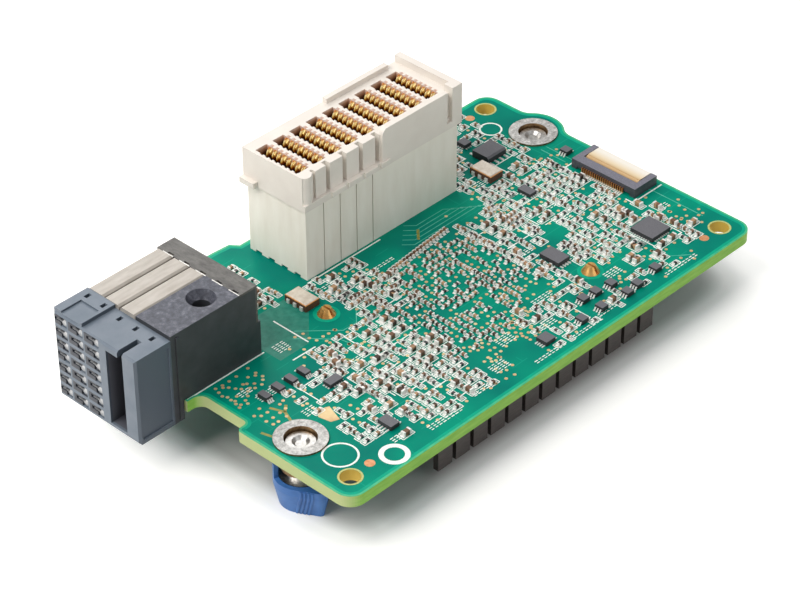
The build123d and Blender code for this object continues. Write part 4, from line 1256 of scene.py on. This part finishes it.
class CARD_OT_chips(bpy.types.Operator):
    """Finish the chips, oscillators and leads, and add the leads of the six-lead packages"""

    bl_idname = "card.chips"
    bl_label = "Chips and leads"

    def execute(self, context):
        dress("chip", "controller_chip", "memory_chip", "thin_chip", "square_chip", "small_chips",
              "sensor_chips", "transistor_row", "transistor_packs")
        dress("ceramic", "oscillator_bodies")
        dress("lid", "oscillator_lids")
        dress("tin", "chip_leads")
        leads, pads = bmesh.new(), bmesh.new()
        for add, node, axes, count, pitch in (
            (self.add_lead, "transistor_row", (1,), 3, 0.42),
            (self.add_lead, "transistor_packs", (0,), 3, 0.55),
            (self.add_pad, "square_chip", (0, 1), 8, 0.5),
            (self.add_pad, "small_chips", (0, 1), 3, 0.55),
        ):
            for low, high in islands(node):
                for k in range(count):
                    along = (k - (count - 1) / 2) * pitch * MM
                    for axis in axes:
                        for edge, side in ((low, -1), (high, 1)):
                            start, outward = (low + high) / 2, Vector((0, 0, 0))
                            start[axis], start[1 - axis] = edge[axis], start[1 - axis] + along
                            start.z, outward[axis] = BOARD_TOP, side
                            add(leads, start, outward)
        add_piece("package_leads", leads, "tin")
        for low, high in islands("oscillator_bodies"):
            for k in range(3):
                y = (low.y + high.y) / 2 + (1.6 * k - 1.88) * MM
                start = Vector((low.x - 0.25 * MM, y, BOARD_TOP))
                add_box(pads, start, start + Vector((0.5, 0.66, 0.8)) * MM)
        add_piece("oscillator_pads", pads, "tin")
        return {"FINISHED"}

    def add_lead(self, mesh, start, outward):
        """One gull-wing lead: a foot on the board and a shoulder into the package."""
        half = Vector((-outward.y, outward.x, 0)) * 0.13
        # Steps outward and up, in millimetres, along the lead's top and back along its underside
        profile = [(-0.02, 0.52), (0.2, 0.52), (0.36, 0.14), (0.62, 0.14),
                   (0.62, 0.0), (0.28, 0.0), (0.12, 0.4), (-0.02, 0.4)]
        rings = [
            [mesh.verts.new(start + (outward * run + half * side + Vector((0, 0, z))) * MM)
             for run, z in profile]
            for side in (-1, 1)]
        add_walls(mesh, *rings)
        for ring in rings:
            for i in range(3):
                mesh.faces.new([ring[k] for k in (i, i + 1, 6 - i, 7 - i)])

    def add_pad(self, mesh, start, outward):
        """One flat soldered pad of a leadless package."""
        half = Vector((abs(outward.y), abs(outward.x), 0)) * 0.14 * MM
        end = start + outward * 0.3 * MM
        low, high = [Vector(map(pick, start, end)) for pick in (min, max)]
        add_box(mesh, low - half, high + half + Vector((0, 0, 0.12 * MM)))


class CARD_OT_fasteners(bpy.types.Operator):
    """Finish the ferrules, rings, screws and knobs"""

    bl_idname = "card.fasteners"
    bl_label = "Captive fasteners"

    def execute(self, context):
        dress("solder", "screw_ferrules")
        for end in ("near", "far"):
            dress("steel", f"{end}_retaining_ring", f"{end}_captive_screw")
            dress("blue", f"{end}_knob")
        return {"FINISHED"}


class CARD_OT_stack_connector(bpy.types.Operator):
    """Finish the tall stacking connector and add its tails under the board"""

    bl_idname = "card.stack_connector"
    bl_label = "Stacking connector"

    def execute(self, context):
        dress("ivory", "stack_wafers", "stack_base")
        dress("shroud", "stack_shroud")
        dress("gold", "stack_contacts")
        self.add_bows()
        low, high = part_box("stack_wafers")
        high.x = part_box("stack_base")[1].x
        centre = (low + high) / 2
        centre.z = BOARD_UNDER - 0.7 * MM
        length, width, _ = high - low - 2 * Vector((1.4, 1.4, 0)) * MM
        add_piece("stack_tails", run_tree(
            block_tree("connector_tails", (0.35, 0.35, 0.7), "tin"), "stack_tails", Centre=centre,
            Length=length, Width=width, Columns=18, Rows=6, Seed=3))
        return {"FINISHED"}

    def add_bows(self):
        """A bowed gold tip on each contact, as wide as the contact."""
        wide, narrow = [], []
        for low, high in islands("stack_contacts"):
            place = (high.x - 0.2 * MM, (low.y + high.y) / 2, high.z)
            (wide if high.y - low.y > 0.65 * MM else narrow).append(place)
        add_piece("contact_bows", run_at_places(
            bow_tree("bow"), "contact_bows", (wide, {"Width": 0.84 * MM}),
            (narrow, {"Width": 0.54 * MM})))


class CARD_OT_backplane_connector(bpy.types.Operator):
    """Finish the right-angle connector and add its bright seam and tails"""

    bl_idname = "card.backplane_connector"
    bl_label = "Right-angle connector"

    def execute(self, context):
        dress("cast", "backplane_guide_block")
        dress("wafer", "backplane_wafers")
        dress("cover", "backplane_rear_cover")
        dress("front", "backplane_front_housing")
        dress("blade", "backplane_contacts")
        self.add_receptacles()
        low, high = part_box("backplane_rear_cover")
        seam = bmesh.new()
        pitch = (high.y - low.y) / SEAM_BARS
        for i in range(SEAM_BARS):
            start = Vector((low.x, low.y + i * pitch, high.z))
            end = start + Vector((0, pitch * 0.62, 0.05 * MM))
            add_box(seam, start - Vector((0.18, 0, 0.1)) * MM, end)
        add_piece("cover_seam", seam, "seam")
        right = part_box("backplane_wafers")[1].x
        centre = Vector(((CORNER.x + right) / 2, (low.y + high.y) / 2, BOARD_UNDER - 0.8 * MM))
        add_piece("backplane_tails", run_tree(
            block_tree("press_fit_tails", (0.3, 0.5, 0.8), "tin"), "backplane_tails", Centre=centre,
            Length=11 * MM, Width=16 * MM, Columns=7, Rows=10, Seed=5))
        return {"FINISHED"}

    def add_receptacles(self):
        """The stamped forks that fill the openings of the front housing, one on each contact."""
        fork = [(0.08, 0.14), (0.98, 0.08), (1.36, 0.42), (1.36, 0.8), (2.6, 0.8), (2.6, 0.94),
                (0.98, 0.94), (0.62, 1.6), (0.08, 1.6)]
        # The front leans back towards its foot, and the back meets the contact
        sheet = [
            [Vector((x(z), y, z)) * MM for y, z in fork]
            for x in (lambda z: (1.6 - z) * 0.16, lambda z: 0.46)]
        forks = bmesh.new()
        for low, high in islands("backplane_contacts"):
            start = low - Vector((0.42, 0.6, 0.2)) * MM
            add_prism(forks, [[start + point for point in ring] for ring in sheet])
        add_piece("receptacle_forks", forks, "blade")


class CARD_OT_heat_sink(bpy.types.Operator):
    """Finish the heat sink, its pins and pad, and add the springs on the pins"""

    bl_idname = "card.heat_sink"
    bl_label = "Heat sink"

    def execute(self, context):
        dress("fins", "heat_sink")
        dress("brass", "heat_sink_pins")
        dress("pad", "thermal_pad")
        wire, radius, head, base = 0.16 * MM, 1.6 * MM, 0.6 * MM, 1.5 * MM
        pins = islands("heat_sink_pins")
        head_top = pins[0][0].z + head
        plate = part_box("heat_sink")[1].z - base
        first, second = [(*((low + high) / 2).xy, head_top + wire) for low, high in pins]
        add_piece("pin_springs", run_tree(
            spring_tree("spring"), "pin_springs", First=first, Second=second, Radius=radius,
            Height=plate - head_top - 2 * wire, Turns=context.scene.card_sizes.spring_turns,
            Wire=wire))
        return {"FINISHED"}


class CARD_OT_flat_cable(bpy.types.Operator):
    """Finish the flat-cable connector and add its contacts' soldered feet"""

    bl_idname = "card.flat_cable"
    bl_label = "Flat-cable connector"

    def execute(self, context):
        dress("flat_housing", "flat_cable_housing")
        dress("cream", "flat_cable_actuator")
        dress("beam", "flat_cable_contacts")
        feet = bmesh.new()
        low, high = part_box("flat_cable_contacts")
        for i in range(round((high.y - low.y) / BEAM_PITCH)):
            y = low.y + (i + 0.5) * BEAM_PITCH
            start = Vector((low.x - FOOT_OUT * MM, y - FOOT[1] / 2 * MM, BOARD_TOP))
            add_box(feet, start, start + Vector(FOOT) * MM)
        add_piece("flat_cable_pads", feet, "tin")
        return {"FINISHED"}


# Camera and stage

CAMERA_PLACE = Vector((-0.24257, -0.24380, 0.29050))
CAMERA_FORWARD = Vector((0.5789, 0.5555, -0.5969))
CAMERA_RIGHT = Vector((0.6902, -0.7236, -0.004))
LENS, SENSOR, NEAREST = 128.12, 36.0, 0.01
FLOOR_REACH = 3.0
SURROUND_LIGHT = 0.36

# Softboxes: name, place from the card's middle, size, watts, colour
LAMPS = [
    ("key_softbox", (-0.42, 0.1, 0.5), 0.4, 3.6, "FFFDFA"),
    ("back_softbox", (0.15, 0.5, 0.42), 0.45, 2.2, "FFFFFF"),
    ("front_softbox", (0.1, -0.6, 0.4), 0.5, 1.0, "FAFCFF"),
]


class CARD_OT_stage(bpy.types.Operator):
    """Set the floor, the softboxes, the white surround and the camera"""

    bl_idname = "card.stage"
    bl_label = "Stage"

    def execute(self, context):
        self.add_floor()
        self.add_lamps()
        self.add_surround(context.scene)
        self.add_camera(context.scene)
        context.scene.view_settings.view_transform = "Standard"
        return {"FINISHED"}

    def add_floor(self):
        """A wide sheet of white paper at the card's lowest point."""
        ways = ((-1, -1), (1, -1), (1, 1), (-1, 1))
        sheet = bmesh.new()
        sheet.faces.new([
            sheet.verts.new((x * FLOOR_REACH, y * FLOOR_REACH, CAD_LOW.z)) for x, y in ways])
        mesh = finished_mesh("floor", sheet)
        mesh.materials.append(finish_of("paper"))
        floor = add_object("floor", mesh)

    def add_lamps(self):
        """Square softboxes that look at the card's middle."""
        middle = (CAD_LOW + CAD_HIGH) / 2
        for name, place, size, watts, code in LAMPS:
            light = bpy.data.lights.new(name, "AREA")
            light.shape, light.size, light.energy = "SQUARE", size, watts
            light.color = colour(code)[:3]
            lamp = add_object(name, light)
            lamp.location = middle + Vector(place)
            lamp.rotation_euler = (-Vector(place)).to_track_quat("-Z", "Y").to_euler()

    def add_surround(self, scene):
        """White to the camera, and dimmer as light."""
        world = scene.world = bpy.data.worlds.new("white_surround")
        world.use_nodes = True
        tree = world.node_tree
        tree.nodes.clear()
        seen = add_node(tree, "ShaderNodeLightPath").outputs["Is Camera Ray"]
        strength = add_node(tree, RANGE, (seen, 0.0, 1.0, SURROUND_LIGHT, 1.0))
        back = add_node(tree, "ShaderNodeBackground", {"Color": WHITE, "Strength": strength})
        add_node(tree, "ShaderNodeOutputWorld", {"Surface": back})

    def add_camera(self, scene):
        """The photo's camera."""
        camera = bpy.data.cameras.new("camera")
        camera.lens, camera.sensor_width, camera.clip_start = LENS, SENSOR, NEAREST
        up = CAMERA_RIGHT.cross(CAMERA_FORWARD).normalized()
        right = CAMERA_FORWARD.cross(up).normalized()
        turn = Matrix((right, up, -CAMERA_FORWARD.normalized())).transposed().to_4x4()
        scene.camera = add_object("camera", camera)
        scene.camera.matrix_world = Matrix.Translation(CAMERA_PLACE) @ turn


class CARD_PT_panel(bpy.types.Panel):
    """Lists the card's settings and operators"""

    bl_label = "Adapter card"
    bl_idname = "CARD_PT_panel"
    bl_space_type = "VIEW_3D"
    bl_region_type = "UI"
    bl_category = "Adapter card"

    def draw(self, context):
        layout = self.layout
        for group in (context.scene.card_look, context.scene.card_sizes):
            for name in group.__annotations__:
                layout.prop(group, name)
        for operator in OPERATORS:
            layout.operator(operator.bl_idname)


OPERATORS = [
    CARD_OT_board, CARD_OT_small_parts, CARD_OT_chips, CARD_OT_fasteners, CARD_OT_stack_connector,
    CARD_OT_backplane_connector, CARD_OT_heat_sink, CARD_OT_flat_cable, CARD_OT_stage,
]
CLASSES = [CardLook, CardSizes, *OPERATORS, CARD_PT_panel]


def register():
    for item in CLASSES:
        bpy.utils.register_class(item)
    bpy.types.Scene.card_look = PointerProperty(type=CardLook)
    bpy.types.Scene.card_sizes = PointerProperty(type=CardSizes)


def unregister():
    del bpy.types.Scene.card_sizes
    del bpy.types.Scene.card_look
    for item in reversed(CLASSES):
        bpy.utils.unregister_class(item)


def main():
    register()
    for operator in OPERATORS:
        group, name = operator.bl_idname.split(".")
        getattr(getattr(bpy.ops, group), name)()


if __name__ == "__main__":
    main()
